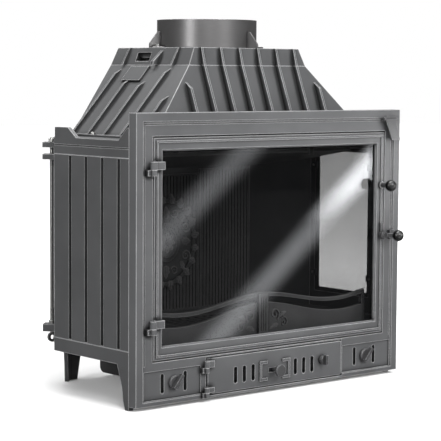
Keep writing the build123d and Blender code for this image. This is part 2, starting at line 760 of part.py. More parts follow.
def front_frame():
    """Face plate with a raised outer band, a deep return, the door rebate and the two lower panels."""
    frame = block(-HALF, HALF, 0, FRAME_PLATE, FRAME_BOTTOM, FRAME_TOP)
    frame += raised_band()
    frame += edge_return()
    frame += block(
        -OPENING_HALF - OPENING_RETURN, OPENING_HALF + OPENING_RETURN, FRAME_PLATE, FRAME_DEPTH,
        OPENING_BOTTOM - OPENING_RETURN, OPENING_TOP + OPENING_RETURN)
    ash_return = ASH_OPENING_HALF + OPENING_RETURN
    frame += block(
        -ash_return, ash_return, FRAME_PLATE, FRAME_DEPTH, ASH_OPENING_BOTTOM - ASH_DOOR_GAP, OPENING_BOTTOM)
    # Door rebate with the ledge that the seal closes on
    frame -= block(-OPENING_HALF, OPENING_HALF, -BAND_PROUD, LEDGE_FRONT, OPENING_BOTTOM, OPENING_TOP)
    frame -= block(
        -OPENING_HALF + LEDGE_WIDTH, OPENING_HALF - LEDGE_WIDTH, 0, FRAME_DEPTH,
        OPENING_BOTTOM + LEDGE_WIDTH, OPENING_TOP - LEDGE_WIDTH)
    # Ash door recess and opening, with room for the turning catch
    frame -= block(
        ASH_LEFT - DOOR_GAP, ASH_RIGHT + DOOR_GAP, -BAND_PROUD, ASH_RECESS, ASH_BOTTOM - ASH_DOOR_GAP,
        ASH_TOP + ASH_DOOR_GAP)
    frame -= block(-ASH_OPENING_HALF, ASH_OPENING_HALF, 0, FRAME_DEPTH, ASH_OPENING_BOTTOM, ASH_OPENING_TOP)
    frame -= block(
        ASH_OPENING_HALF - LOOSE, ash_return + LOOSE, FRAME_PLATE, FRAME_DEPTH,
        CATCH_Z - CAM_HALF - CAM_ROOM, CATCH_Z + CAM_LENGTH - CAM_TAIL)
    frame -= frame_groove()
    # Lower panels with their air slots and shaft holes
    for side in (-1, 1):
        frame -= block(side * PANEL_INNER, side * PANEL_OUTER, 0, PANEL_DEPTH, PANEL_BOTTOM, PANEL_TOP)
        centre = side * REGULATOR_X
        for offset in (-REGULATOR_SLOT, REGULATOR_SLOT):
            frame -= slot_y(
                centre + offset, REGULATOR_Z, REGULATOR_SLOT_WIDTH, REGULATOR_SLOT_HEIGHT, 0, FRAME_PLATE)
        frame -= round_y(centre, 0, FRAME_PLATE, REGULATOR_Z, REGULATOR_SHAFT + RUNNING)
    frame -= round_y(DAMPER_X, -BAND_PROUD, FRAME_PLATE, DAMPER_Z, DAMPER_ROD_RADIUS + RUNNING)
    # Knuckles of both doors
    for base in KNUCKLE_BASES:
        top = base - PLAY
        frame += frame_knuckle(
            PIN_X, PIN_Y, top - FRAME_KNUCKLE_HEIGHT, top, KNUCKLE_RADIUS, PIN_RADIUS, -OPENING_HALF)
    for base, _ in ASH_KNUCKLES:
        top = base - PLAY
        frame += frame_knuckle(
            ASH_PIN_X, ASH_PIN_Y, top - ASH_FRAME_KNUCKLE, top, ASH_KNUCKLE_RADIUS, ASH_PIN_RADIUS,
            ASH_LEFT - DOOR_GAP)
    return frame


def latch_keeper():
    """Channel on the frame's face that the latch nose swings into."""
    wall = FURNITURE_X + hypotenuse(LATCH_NOSE, LATCH_NOSE_WIDTH / 2) + KEEPER_GAP
    floor = -KEEPER_PLATE
    lip = LATCH_BACK - LATCH_NOSE_THICK - KEEPER_GAP
    front = lip - LATCH_NOSE_THICK
    mouth = wall - KEEPER_LIP
    section = [
        (mouth, 0), (mouth, floor), (wall, floor), (wall, lip), (mouth, lip), (mouth, front),
        (wall + KEEPER_WALL, front), (wall + KEEPER_WALL, 0)]
    keep("latch_keeper", prism_z(section, LATCH_Z - KEEPER_HEIGHT / 2, LATCH_Z + KEEPER_HEIGHT / 2))


def hypotenuse(a, b):
    """Long side of a right-angled triangle."""
    return sqrt(a * a + b * b)


def door_frame(screws):
    """Cast door frame: a flat rim with a raised moulding, a bevelled window, a rear ridge and hinge lugs."""
    door = block(-DOOR_HALF, DOOR_HALF, 0, DOOR_PLATE, DOOR_BOTTOM, DOOR_TOP)
    door -= block(-SIGHT_HALF, SIGHT_HALF, 0, DOOR_PLATE, SIGHT_BOTTOM, SIGHT_TOP)
    door -= bevelled_window(
        SIGHT_HALF + DOOR_BEVEL, SIGHT_BOTTOM - DOOR_BEVEL, SIGHT_TOP + DOOR_BEVEL, DOOR_BEVEL, 0, DOOR_BEVEL)
    door += ring_y(DOOR_HALF, DOOR_BOTTOM, DOOR_TOP, DOOR_RIDGE, DOOR_PLATE, DOOR_DEPTH)
    door += ring_y(
        DOOR_HALF - MOULD_INSET, DOOR_BOTTOM + MOULD_INSET, DOOR_TOP - MOULD_INSET, MOULD_WIDTH,
        -MOULD_PROUD, 0)
    door -= ring_y(
        DOOR_HALF - SEAL_INSET, DOOR_BOTTOM + SEAL_INSET, DOOR_TOP - SEAL_INSET, SEAL_WIDTH,
        DOOR_DEPTH - SEAL_GROOVE, DOOR_DEPTH)
    for base in KNUCKLE_BASES:
        door += hinge_lug(
            PIN_X, PIN_Y, base, base + KNUCKLE_HEIGHT, KNUCKLE_RADIUS, PIN_RADIUS, LUG_THICK,
            -DOOR_HALF + 2 * LOOSE, LUG_FOOT, 0)
    # Boss of the pull knob and seat of the latch, with the holes of their studs
    door += round_y(FURNITURE_X, -PULL_BOSS_PROUD, 0, PULL_KNOB_Z, PULL_BOSS_RADIUS)
    door += round_y(FURNITURE_X, -LATCH_SEAT_PROUD, 0, LATCH_Z, LATCH_SEAT_RADIUS)
    door -= round_y(FURNITURE_X, -PULL_BOSS_PROUD, DOOR_PLATE - STUD_END, PULL_KNOB_Z, STEM_TENON)
    door -= round_y(FURNITURE_X, -LATCH_SEAT_PROUD, DOOR_PLATE - STUD_END, LATCH_Z, LATCH_STUD_RADIUS)
    for screw in screws:
        door -= screw
    keep("door_frame", door)


def hinge_lug(x, y, z0, z1, radius, pin, thick, foot_start, foot, face):
    """Hinge lug of a door: a bored knuckle, a neck across the gap and a foot on the door's face."""
    lug = round_z(x, y, z0, z1, radius)
    lug += block(x, foot_start + 2 * LOOSE, y - thick / 2, y + thick / 2, z0, z1)
    lug += block(foot_start, foot_start + foot, y - thick / 2, face, z0, z1)
    return lug - round_z(x, y, z0, z1, pin + RUNNING)


def door_fittings():
    """Glass, rope seal, glass clips, their screws and the hinge pins; returns the screws."""
    ridge_half = DOOR_HALF - DOOR_RIDGE - LOOSE
    keep("door_glass", block(
        -ridge_half, ridge_half, DOOR_PLATE, DOOR_PLATE + GLASS_THICK, DOOR_BOTTOM + DOOR_RIDGE + LOOSE,
        DOOR_TOP - DOOR_RIDGE - LOOSE))
    keep("door_seal", ring_y(
        DOOR_HALF - SEAL_INSET, DOOR_BOTTOM + SEAL_INSET, DOOR_TOP - SEAL_INSET, SEAL_WIDTH,
        DOOR_DEPTH - SEAL_GROOVE, LEDGE_FRONT - SEAL_GAP))
    middle = (DOOR_BOTTOM + DOOR_TOP) / 2
    half_height = (DOOR_TOP - DOOR_BOTTOM) / 2
    clips = []
    screws = []
    for side in (-1, 1):
        for rise in (-CLIP_RISE, 0.0, CLIP_RISE):
            turn = 90 - 90 * side
            clip, screw = glass_clip(DOOR_HALF)
            place = Pos(0, 0, middle + rise) * Rot(0, turn, 0)
            clips.append(place * clip)
            screws.append(place * screw)
        for run in (-CLIP_RUN, CLIP_RUN):
            clip, screw = glass_clip(half_height)
            place = Pos(run, 0, middle) * Rot(0, -90 * side, 0)
            clips.append(place * clip)
            screws.append(place * screw)
    keep("glass_clips", Compound(children=clips))
    keep("clip_screws", Compound(children=screws))
    pins = []
    for base in KNUCKLE_BASES:
        top = base + KNUCKLE_HEIGHT
        pin = round_z(PIN_X, PIN_Y, base - PLAY - FRAME_KNUCKLE_HEIGHT - LOOSE, top + PLAY, PIN_RADIUS)
        pins.append(pin + round_z(PIN_X, PIN_Y, top + PLAY, top + PLAY + PIN_HEAD_HEIGHT, PIN_HEAD))
    keep("door_hinge_pins", Compound(children=pins))
    return screws


def glass_clip(edge):
    """One clip and its screw, drawn for a door edge that lies at X = edge, pointing back to the glass."""
    x = edge - CLIP_SCREW_INSET
    half = CLIP_WIDTH / 2
    back = DOOR_DEPTH + CLIP_THICK
    tip = x - CLIP_REACH
    clip = block(tip, x + SCREW_HEAD, DOOR_DEPTH, back, -half, half)
    clip += block(tip, tip + CLIP_HOOK, DOOR_PLATE + GLASS_THICK, DOOR_DEPTH, -half, half)
    screw = round_y(x, DOOR_DEPTH - SCREW_DEPTH, back, 0, SCREW_RADIUS)
    clip -= screw
    return clip, screw + round_y(x, back, back + SCREW_HEAD_HEIGHT, 0, SCREW_HEAD)


def door_furniture():
    """Pull knob on its stem, and the latch lever with its ball, on the door's right stile."""
    stem = round_y(FURNITURE_X, BALL_RADIUS / 2 - PULL_KNOB_PROUD, -PULL_BOSS_PROUD, PULL_KNOB_Z, STEM_RADIUS)
    stem += round_y(FURNITURE_X, -PULL_BOSS_PROUD, DOOR_PLATE - STUD_END, PULL_KNOB_Z, STEM_TENON)
    keep("pull_knob_stem", stem)
    keep("pull_knob", ball(FURNITURE_X, -PULL_KNOB_PROUD, PULL_KNOB_Z, BALL_RADIUS) - stem)
    # Shouldered stud that the lever turns on
    head_back = LATCH_FRONT - PLAY
    stud = round_y(FURNITURE_X, head_back, DOOR_PLATE - STUD_END, LATCH_Z, LATCH_STUD_RADIUS)
    stud += round_y(FURNITURE_X, head_back - LATCH_STUD_HEAD_HEIGHT, head_back, LATCH_Z, LATCH_STUD_HEAD)
    keep("latch_stud", stud)
    lever = round_y(FURNITURE_X, LATCH_FRONT, LATCH_BACK, LATCH_Z, LATCH_HUB_RADIUS)
    half = LATCH_NOSE_WIDTH / 2
    lever += block(
        FURNITURE_X - half, FURNITURE_X + half, LATCH_BACK - LATCH_NOSE_THICK, LATCH_BACK, LATCH_Z,
        LATCH_Z + LATCH_NOSE)
    ball_x = FURNITURE_X + LATCH_BALL_OUT
    ball_back = BALL_RADIUS - LATCH_BALL_PROUD
    arm_half = LATCH_ARM_HEIGHT / 2
    arm_tip = ball_back - arm_half
    tip_half = arm_half - LATCH_ARM_BEVEL
    lever += prism_z([
        (FURNITURE_X + LATCH_ARM_START, LATCH_FRONT),
        (FURNITURE_X + LATCH_HUB_RADIUS, LATCH_FRONT + LATCH_STUD_RADIUS),
        (ball_x + tip_half, arm_tip), (ball_x - tip_half, arm_tip - LATCH_ARM_TIP),
    ], LATCH_Z - arm_half, LATCH_Z + arm_half)
    lever += round_y(
        ball_x, ball_back - BALL_RADIUS + LATCH_BALL_SEAT, ball_back - LATCH_ARM_BEVEL, LATCH_Z, arm_half)
    lever -= round_y(FURNITURE_X, LATCH_FRONT, LATCH_BACK, LATCH_Z, LATCH_STUD_RADIUS + RUNNING)
    lever -= round_y(
        FURNITURE_X, head_back - LATCH_STUD_HEAD_HEIGHT - 2 * LOOSE, LATCH_FRONT, LATCH_Z,
        LATCH_STUD_HEAD + PLAY)
    keep("latch_lever", lever)
    keep("latch_ball", ball(ball_x, -LATCH_BALL_PROUD, LATCH_Z, BALL_RADIUS) - lever)


def air_slots(y0, y1):
    """Cutters for the two groups of upright air slots."""
    cutters = []
    for side in (-1, 1):
        for i in range(AIR_SLOTS):
            x = side * (AIR_SLOT_FIRST + i * AIR_SLOT_PITCH)
            cutters.append(slot_y(x, AIR_SLOT_Z, AIR_SLOT_WIDTH, AIR_SLOT_HEIGHT, y0, y1))
    return cutters


def ash_door():
    """Ash door with its air slots, raised brackets, slider rails and hinge lugs."""
    door = block(ASH_LEFT, ASH_RIGHT, ASH_FRONT, ASH_BACK, ASH_BOTTOM, ASH_TOP)
    for cutter in air_slots(ASH_FRONT, ASH_BACK):
        door -= cutter
    stem_room = SLIDER_STEM + PLAY
    door -= block(
        -SLIDER_TRAVEL - stem_room, SLIDER_TRAVEL + stem_room, ASH_FRONT, ASH_BACK,
        AIR_SLOT_Z - stem_room, AIR_SLOT_Z + stem_room)
    # Raised brackets either side of the slider knob
    inner = SLIDER_TRAVEL + stem_room + BRACKET_GAP
    proud = ASH_FRONT - BRACKET_PROUD
    half = BRACKET_HEIGHT / 2
    for side in (-1, 1):
        outer = inner + BRACKET_WIDTH
        bracket = block(side * inner, side * outer, proud, ASH_FRONT, AIR_SLOT_Z - half, AIR_SLOT_Z + half)
        bracket -= block(
            side * inner, side * (outer - BRACKET_BAR), proud, ASH_FRONT,
            AIR_SLOT_Z - half + BRACKET_BAR, AIR_SLOT_Z + half - BRACKET_BAR)
        door += bracket
    # Lipped rails that carry the air slider
    rail_half = ASH_OPENING_HALF - SLIDER_RAIL_SETBACK
    lip_front = ASH_BACK + SLIDER_THICK + 2 * PLAY
    lip_back = lip_front + SLIDER_RAIL_THICK
    for side in (-1, 1):
        near = AIR_SLOT_Z + side * RAIL_OFFSET
        far = near + side * SLIDER_RAIL
        door += block(-rail_half, rail_half, ASH_BACK, lip_front, near, far)
        door += block(-rail_half, rail_half, lip_front, lip_back, near - side * SLIDER_RAIL_LIP, far)
    for base, height in ASH_KNUCKLES:
        door += hinge_lug(
            ASH_PIN_X, ASH_PIN_Y, base, base + height, ASH_KNUCKLE_RADIUS, ASH_PIN_RADIUS, ASH_LUG_THICK,
            ASH_LEFT + 2 * LOOSE, ASH_LUG_FOOT, ASH_FRONT)
    door += round_y(CATCH_X, ASH_FRONT - CATCH_BOSS_PROUD, ASH_FRONT, CATCH_Z, CATCH_BOSS)
    door -= round_y(CATCH_X, ASH_FRONT - CATCH_BOSS_PROUD, ASH_BACK, CATCH_Z, CATCH_SHAFT + RUNNING)
    keep("ash_door", door)
    pins = []
    for base, height in ASH_KNUCKLES:
        top = base + height + PLAY
        pin = round_z(ASH_PIN_X, ASH_PIN_Y, base - PLAY - ASH_FRAME_KNUCKLE, top, ASH_PIN_RADIUS)
        pins.append(pin + round_z(ASH_PIN_X, ASH_PIN_Y, top, top + PIN_HEAD_HEIGHT, ASH_PIN_HEAD))
    keep("ash_hinge_pins", Compound(children=pins))


def air_slider():
    """Sliding plate behind the ash door's slots, and its disc knob."""
    front = ASH_BACK + PLAY
    back = front + SLIDER_THICK
    half_height = AIR_SLOT_HEIGHT / 2 + SLIDER_EDGE
    plate = block(-SLIDER_HALF, SLIDER_HALF, front, back, AIR_SLOT_Z - half_height, AIR_SLOT_Z + half_height)
    for cutter in air_slots(front, back):
        plate -= cutter
    tenon = round_y(0, front, back, AIR_SLOT_Z, SLIDER_TENON)
    neck = ASH_FRONT - SLIDER_KNOB_PROUD
    knob = knob_y(0, neck - SLIDER_KNOB_THICK, neck, AIR_SLOT_Z, SLIDER_KNOB)
    knob += round_y(0, neck, front, AIR_SLOT_Z, SLIDER_STEM)
    keep("air_slider_plate", plate - tenon)
    keep("air_slider_knob", knob + tenon)


def ash_catch():
    """Turning knob of the ash door and the cam behind it."""
    back = CAM_FRONT + CAM_THICK
    neck = ASH_FRONT - CATCH_BOSS_PROUD - PLAY
    front = neck - CATCH_KNOB_THICK
    knob = knob_y(CATCH_X, front, neck, CATCH_Z, CATCH_KNOB)
    knob += block(
        CATCH_X - CATCH_GRIP_HALF, CATCH_X + CATCH_GRIP_HALF, front - CATCH_GRIP_PROUD,
        front + CATCH_GRIP_ROOT, CATCH_Z - CATCH_GRIP, CATCH_Z + CATCH_GRIP)
    knob += round_y(CATCH_X, neck, CAM_FRONT, CATCH_Z, CATCH_SHAFT)
    tenon = round_y(CATCH_X, CAM_FRONT, back, CATCH_Z, CATCH_TENON)
    cam = block(
        CATCH_X - CAM_HALF, CATCH_X + CAM_HALF, CAM_FRONT, back, CATCH_Z - CAM_TAIL, CATCH_Z + CAM_LENGTH)
    keep("ash_latch_knob", knob + tenon)
    keep("ash_latch_cam", cam - tenon)


def air_regulator(side, name):
    """Turning regulator: a knob with a grip bar in front of the panel and a slotted disc behind it."""
    x = side * REGULATOR_X
    back = PANEL_DEPTH - REGULATOR_RELIEF
    front = back - REGULATOR_KNOB_THICK
    behind = FRAME_PLATE + 2 * PLAY
    end = behind + SHUTTER_THICK
    knob = knob_y(x, front, back, REGULATOR_Z, REGULATOR_KNOB)
    grip = block(
        -REGULATOR_GRIP_HALF, REGULATOR_GRIP_HALF, front - REGULATOR_GRIP_PROUD, front + REGULATOR_GRIP_EDGE,
        REGULATOR_GRIP_EDGE - REGULATOR_KNOB, REGULATOR_KNOB + REGULATOR_GRIP_TAIL)
    knob += Pos(x, 0, REGULATOR_Z) * Rot(0, REGULATOR_GRIP_ANGLE, 0) * grip
    knob += round_y(x, back, behind, REGULATOR_Z, REGULATOR_SHAFT)
    tenon = round_y(x, behind, end, REGULATOR_Z, REGULATOR_TENON)
    disc = round_y(x, behind, end, REGULATOR_Z, SHUTTER_RADIUS)
    for offset in (-REGULATOR_SLOT, REGULATOR_SLOT):
        disc -= slot_y(x + offset, REGULATOR_Z, REGULATOR_SLOT_WIDTH, SHUTTER_SLOT_HEIGHT, behind, end)
    keep(name + "_regulator_knob", knob + tenon)
    keep(name + "_regulator_shutter", disc - tenon)


def leg(corner_x, corner_y, heading_a, heading_b, widths):
    """Tapering angle-section leg: two flanges from one corner, their widths listed by share of height."""
    corner = Vector(corner_x, corner_y, 0)
    top = SKIRT_BOTTOM + LEG_ROOT
    outline = [(top, widths[0][1])] + [(share * SKIRT_BOTTOM, width) for share, width in widths]
    flanges = []
    for heading, other in ((heading_a, heading_b), (heading_b, heading_a)):
        along = Vector(cos(radians(heading)), sin(radians(heading)), 0)
        inward = Vector(cos(radians(other)), sin(radians(other)), 0)
        normal = (inward - along * along.dot(inward)).normalized()
        points = [corner, corner + Vector(0, 0, top)]
        points += [corner + along * width + Vector(0, 0, z) for z, width in outline]
        flanges.append(extrude(make_face(Polyline(*points, close=True)), amount=LEG_THICK, dir=normal))
    return flanges[0] + flanges[1]


def base_casting():
    """Floor plate of the firebox with its skirt, four legs and the lower tie-rod ears."""
    base = prism_z(shell_plan(0), SKIRT_BOTTOM, FLOOR_TOP)
    base -= prism_z(shell_plan(WALL), SKIRT_BOTTOM, FLOOR_UNDER)
    hole = GRATE_HALF - GRATE_LEDGE
    base -= block(-hole, hole, GRATE_FRONT + GRATE_LEDGE, GRATE_BACK - GRATE_LEDGE, FLOOR_UNDER, FLOOR_TOP)
    for side in (-1, 1):
        inward = 0 if side < 0 else 180
        base += leg(side * HALF, FRAME_DEPTH, 90, inward, FRONT_LEG)
        base += leg(side * BACK_HALF, BODY_DEPTH, inward, 225 if side < 0 else -45, REAR_LEG)
        base += lower_ear(side)
    return base


def ear_centre(side):
    """Middle of a rear corner face in plan, and the direction that points straight out of it."""
    middle = Vector(side * (HALF + BACK_HALF) / 2, (SIDE_DEPTH + BODY_DEPTH) / 2, 0)
    outward = Vector(side / sqrt(2), 1 / sqrt(2), 0)
    return middle, outward


def on_corner(side, shape):
    """Places a shape drawn along X from the origin so that it points out of a rear corner."""
    middle, _ = ear_centre(side)
    turn = 45 if side > 0 else 135
    return Pos(middle.X, middle.Y, 0) * Rot(0, 0, turn) * shape


def tie_ear(side, z0, z1, root=EAR_ROOT):
    """Flat ear with a hole for the tie rod, on a rear corner."""
    ear = block(-root, EAR_REACH, -EAR_WIDTH / 2, EAR_WIDTH / 2, z0, z1)
    ear -= round_z(TIE_ROD_OFFSET, 0, z0, z1, TIE_ROD_RADIUS + PLAY)
    return on_corner(side, ear)


def lower_ear(side):
    """Ear just above the base plate's edge, with the web that carries it from the skirt."""
    web = block(-EAR_ROOT, EAR_WEB_REACH, -EAR_WEB_HALF, EAR_WEB_HALF, SKIRT_BOTTOM + EAR_ROOT, LOWER_EAR)
    web -= block(-EAR_ROOT, PLAY, -EAR_WEB_HALF, EAR_WEB_HALF, FLOOR_TOP, LOWER_EAR)
    return tie_ear(side, LOWER_EAR, LOWER_EAR + LOWER_EAR_THICK, root=-PLAY) + on_corner(side, web)


def wall_groove(x, y, heading):
    """Cutter for one upright groove; heading is the plan direction along the wall, inside to the right."""
    wide = WALL_GROOVE_WIDTH / 2
    narrow = wide - WALL_GROOVE_DEPTH / 2
    profile = [(-wide, 0), (-narrow, -WALL_GROOVE_DEPTH), (narrow, -WALL_GROOVE_DEPTH), (wide, 0)]
    cutter = prism_z(profile, FLOOR_TOP + WALL_GROOVE_END, WALL_TOP - WALL_GROOVE_END)
    return Pos(x, y, 0) * Rot(0, 0, heading) * cutter


def side_grooves():
    """Depths of the side wall's grooves, from the rear forwards."""
    last = SIDE_DEPTH - WALL_GROOVE_EDGE
    count = int((last - FRAME_DEPTH - WALL_GROOVE_WIDTH) // WALL_GROOVE_PITCH) + 1
    return [last - k * WALL_GROOVE_PITCH for k in range(count)]


def side_wall(side):
    """Plain side wall between the frame and a rear corner, mitred to the corner panel."""
    side_end = SIDE_DEPTH - WALL * CORNER_SLANT
    return prism_z([
        (side * HALF, FRAME_DEPTH), (side * (HALF - WALL), FRAME_DEPTH), (side * (HALF - WALL), side_end),
        (side * HALF, SIDE_DEPTH),
    ], FLOOR_TOP, WALL_TOP)


def left_panel():
    """Left wall with upright grooves outside."""
    panel = side_wall(-1)
    for y in side_grooves():
        panel -= wall_groove(-HALF, y, 90)
    return panel


def corner_panel(side):
    """Angled wall across a rear corner, with two grooves and an ear for the tie rod."""
    outer = shell_plan(0)
    inner = shell_plan(WALL)
    first, second = (5, 4) if side < 0 else (2, 3)
    panel = prism_z([outer[first], outer[second], inner[second], inner[first]], FLOOR_TOP, WALL_TOP)
    middle, outward = ear_centre(side)
    along = Vector(-outward.Y, outward.X, 0) * WALL_GROOVE_PITCH / 2
    for sign in (-1, 1):
        spot = middle + along * sign
        panel -= wall_groove(spot.X, spot.Y, -45 if side > 0 else 45)
    return panel + tie_ear(side, PANEL_EAR, PANEL_EAR + EAR_THICK)


def back_panel():
    """Back wall with the same upright grooves."""
    outer = shell_plan(0)
    inner = shell_plan(WALL)
    panel = prism_z([outer[4], outer[3], inner[3], inner[4]], FLOOR_TOP, WALL_TOP)
    count = int((BACK_HALF - EAR_REACH) // WALL_GROOVE_PITCH)
    for k in range(-count, count + 1):
        panel -= wall_groove(k * WALL_GROOVE_PITCH, BODY_DEPTH, 0)
    return panel


def side_window():
    """Right wall: a cast window frame, its flat seal, the ceramic glass, clips and screws."""
    wall = side_wall(1)
    window = block(HALF - WALL, HALF, WINDOW_FRONT, WINDOW_BACK, WINDOW_BOTTOM, WINDOW_TOP)
    wall -= fillet(window.edges().filter_by(Axis.X), WINDOW_CORNER)
    front, back = WINDOW_FRONT - WINDOW_LAP, WINDOW_BACK + WINDOW_LAP
    bottom, top = WINDOW_BOTTOM - WINDOW_LAP, WINDOW_TOP + WINDOW_LAP
    lip = HALF - WINDOW_LIP
    outside = lip - WINDOW_SEAL
    inside = outside - GLASS_THICK
    wall -= block(HALF - WALL, lip, front, back, bottom, top)
    seal_land = WINDOW_LAP / 2
    seal = block(outside, lip, front, back, bottom, top)
    seal -= block(
        outside, lip, WINDOW_FRONT + seal_land, WINDOW_BACK - seal_land, WINDOW_BOTTOM + seal_land,
        WINDOW_TOP - seal_land)
    keep("window_seal", seal)
    keep("window_glass", block(
        inside, outside, front + LOOSE, back - LOOSE, bottom + LOOSE, top - LOOSE))
    clips = []
    screws = []
    half = WINDOW_CLIP_WIDTH / 2
    clip_face = inside - CLIP_THICK
    for y, outward in ((front, -1), (back, 1)):
        for z in (bottom + WINDOW_CLIP_RISE, top - WINDOW_CLIP_RISE):
            foot, tip = y + outward * WINDOW_CLIP_FOOT, y - outward * WINDOW_CLIP_REACH
            clip = block(clip_face, inside, foot, tip, z - half, z + half)
            screw_y = y + outward * WINDOW_SCREW_OUT
            screw = round_x(clip_face, HALF - SCREW_DEPTH, screw_y, z, SCREW_RADIUS)
            clips.append(clip - screw)
            screws.append(screw + round_x(clip_face - SCREW_HEAD_HEIGHT, clip_face, screw_y, z, SCREW_HEAD))
    for screw in screws:
        wall -= screw
    keep("right_window_frame", wall)
    keep("window_clips", Compound(children=clips))
    keep("window_screws", Compound(children=screws))


def ribbed_plate(x0, x1, top):
    """Fireback plate with fine upright grooves on its front."""
    plate = block(x0, x1, FIREBACK_FRONT, BACK_INSIDE, FLOOR_TOP, top)
    count = int((x1 - x0 - 2 * FINE_RIB_MARGIN) // FINE_RIB_PITCH)
    first = (x0 + x1) / 2 - (count - 1) * FINE_RIB_PITCH / 2
    half = FINE_RIB_GAP / 2
    for i in range(count):
        x = first + i * FINE_RIB_PITCH
        plate -= block(
            x - half, x + half, FIREBACK_FRONT, FIREBACK_FRONT + FINE_RIB_DEPTH,
            HEARTH_TOP + FINE_RIB_MARGIN, top - FINE_RIB_MARGIN)
    return plate


def firebacks():
    """Three ribbed fireback plates; the middle one carries an oval medallion with a raised rim and boss."""
    half = FIREBACK_WIDTH / 2
    centre = ribbed_plate(-half, half, FIREBACK_TOP)
    ground = FIREBACK_FRONT + FINE_RIB_DEPTH
    rim = FIREBACK_FRONT - CREST_PROUD
    centre += oval_y(0, ground, rim + CREST_FIELD, CREST_Z, CREST_HALF_WIDTH, CREST_HALF_HEIGHT)
    ring = oval_y(0, ground, rim, CREST_Z, CREST_HALF_WIDTH, CREST_HALF_HEIGHT)
    ring -= oval_y(0, ground, rim, CREST_Z, CREST_HALF_WIDTH - CREST_RIM, CREST_HALF_HEIGHT - CREST_RIM)
    centre += ring
    centre += oval_y(0, ground, rim, CREST_Z, BOSS_HALF_WIDTH, BOSS_HALF_HEIGHT)
    centre += oval_y(
        0, ground, rim - BOSS_PROUD, CREST_Z, BOSS_HALF_WIDTH - BOSS_STEP, BOSS_HALF_HEIGHT - BOSS_STEP)
    keep("fireback_centre", centre)
    end = BACK_HALF - WALL * CORNER_SLANT - FIREBACK_END
    side = ribbed_plate(half + FIREBACK_JOINT, end, FIREBACK_SIDE_TOP)
    keep("fireback_right", side)
    keep("fireback_left", mirrored(side))


def left_lining():
    """Lining plate inside the left wall, with upright grooves that match the wall's."""
    outer = -HALF + WALL + LINING_GAP
    inner = outer + LINING_THICK
    front = FRAME_DEPTH + CLEAT_LEG + LINING_FRONT_GAP
    top = WALL_TOP - LINING_DROP
    lining = block(outer, inner, front, SIDE_DEPTH - LINING_REAR_GAP, FLOOR_TOP, top)
    for y in side_grooves():
        if y - LINING_RIB_GAP > front:
            lining -= block(
                inner - LINING_RIB_DEPTH, inner, y - LINING_RIB_GAP / 2, y + LINING_RIB_GAP / 2,
                HEARTH_TOP + LINING_RIB_MARGIN, top - LINING_RIB_MARGIN)
    return lining


def hearth_plates():
    """Four plates of the hearth round the grate."""
    outline = hexagon(
        HALF - WALL - HEARTH_SIDE_GAP, FRAME_DEPTH + HEARTH_SETBACK, FIREBACK_FRONT - 2 * LOOSE,
        CORNER_CUT - HEARTH_CORNER)
    plan = prism_z(outline, FLOOR_TOP, HEARTH_TOP)
    plan -= block(-GRATE_HALF, GRATE_HALF, GRATE_FRONT, GRATE_BACK, FLOOR_TOP, HEARTH_TOP)
    plates = [
        plan & block(side * (GRATE_HALF + LOOSE), side * HALF, 0, BODY_DEPTH, FLOOR_TOP, HEARTH_TOP)
        for side in (-1, 1)]
    half = GRATE_HALF - LOOSE
    middle = plan & block(-half, half, 0, BODY_DEPTH, FLOOR_TOP, HEARTH_TOP)
    return Compound(children=plates + list(middle.solids()))


def grate():
    """Slotted fire grate, flush with the hearth plates."""
    gap = 2 * LOOSE
    half = GRATE_HALF - gap
    grid = block(-half, half, GRATE_FRONT + gap, GRATE_BACK - gap, FLOOR_TOP, HEARTH_TOP)
    pitch = (GRATE_WIDTH - 2 * GRATE_BORDER) / GRATE_BARS
    middle = (GRATE_FRONT + GRATE_BACK) / 2
    front_row = (GRATE_FRONT + GRATE_BORDER, middle - GRATE_BORDER / 2)
    rear_row = (middle + GRATE_BORDER / 2, GRATE_BACK - GRATE_BORDER)
    for i in range(GRATE_BARS):
        x = -GRATE_HALF + GRATE_BORDER + (i + 0.5) * pitch
        for y0, y1 in (front_row, rear_row):
            grid -= block(x - GRATE_SLOT / 2, x + GRATE_SLOT / 2, y0, y1, FLOOR_TOP, HEARTH_TOP)
    return grid


def guard_height(x):
    """Height of the log guard's wavy upper edge."""
    return FLOOR_TOP + GUARD_HEIGHT + GUARD_WAVE * cos(2 * pi * x / GUARD_WAVELENGTH)


def guard_wave(x0, x1, y, drop, growth=0.0, spans=8):
    """Curve that follows the guard's wave, lower by drop and by growth for each step from the middle."""
    xs = [x0 + (x1 - x0) * i / spans for i in range(spans + 1)]
    return Spline(*[(x, y, guard_height(x) - drop - growth * abs(x)) for x in xs])


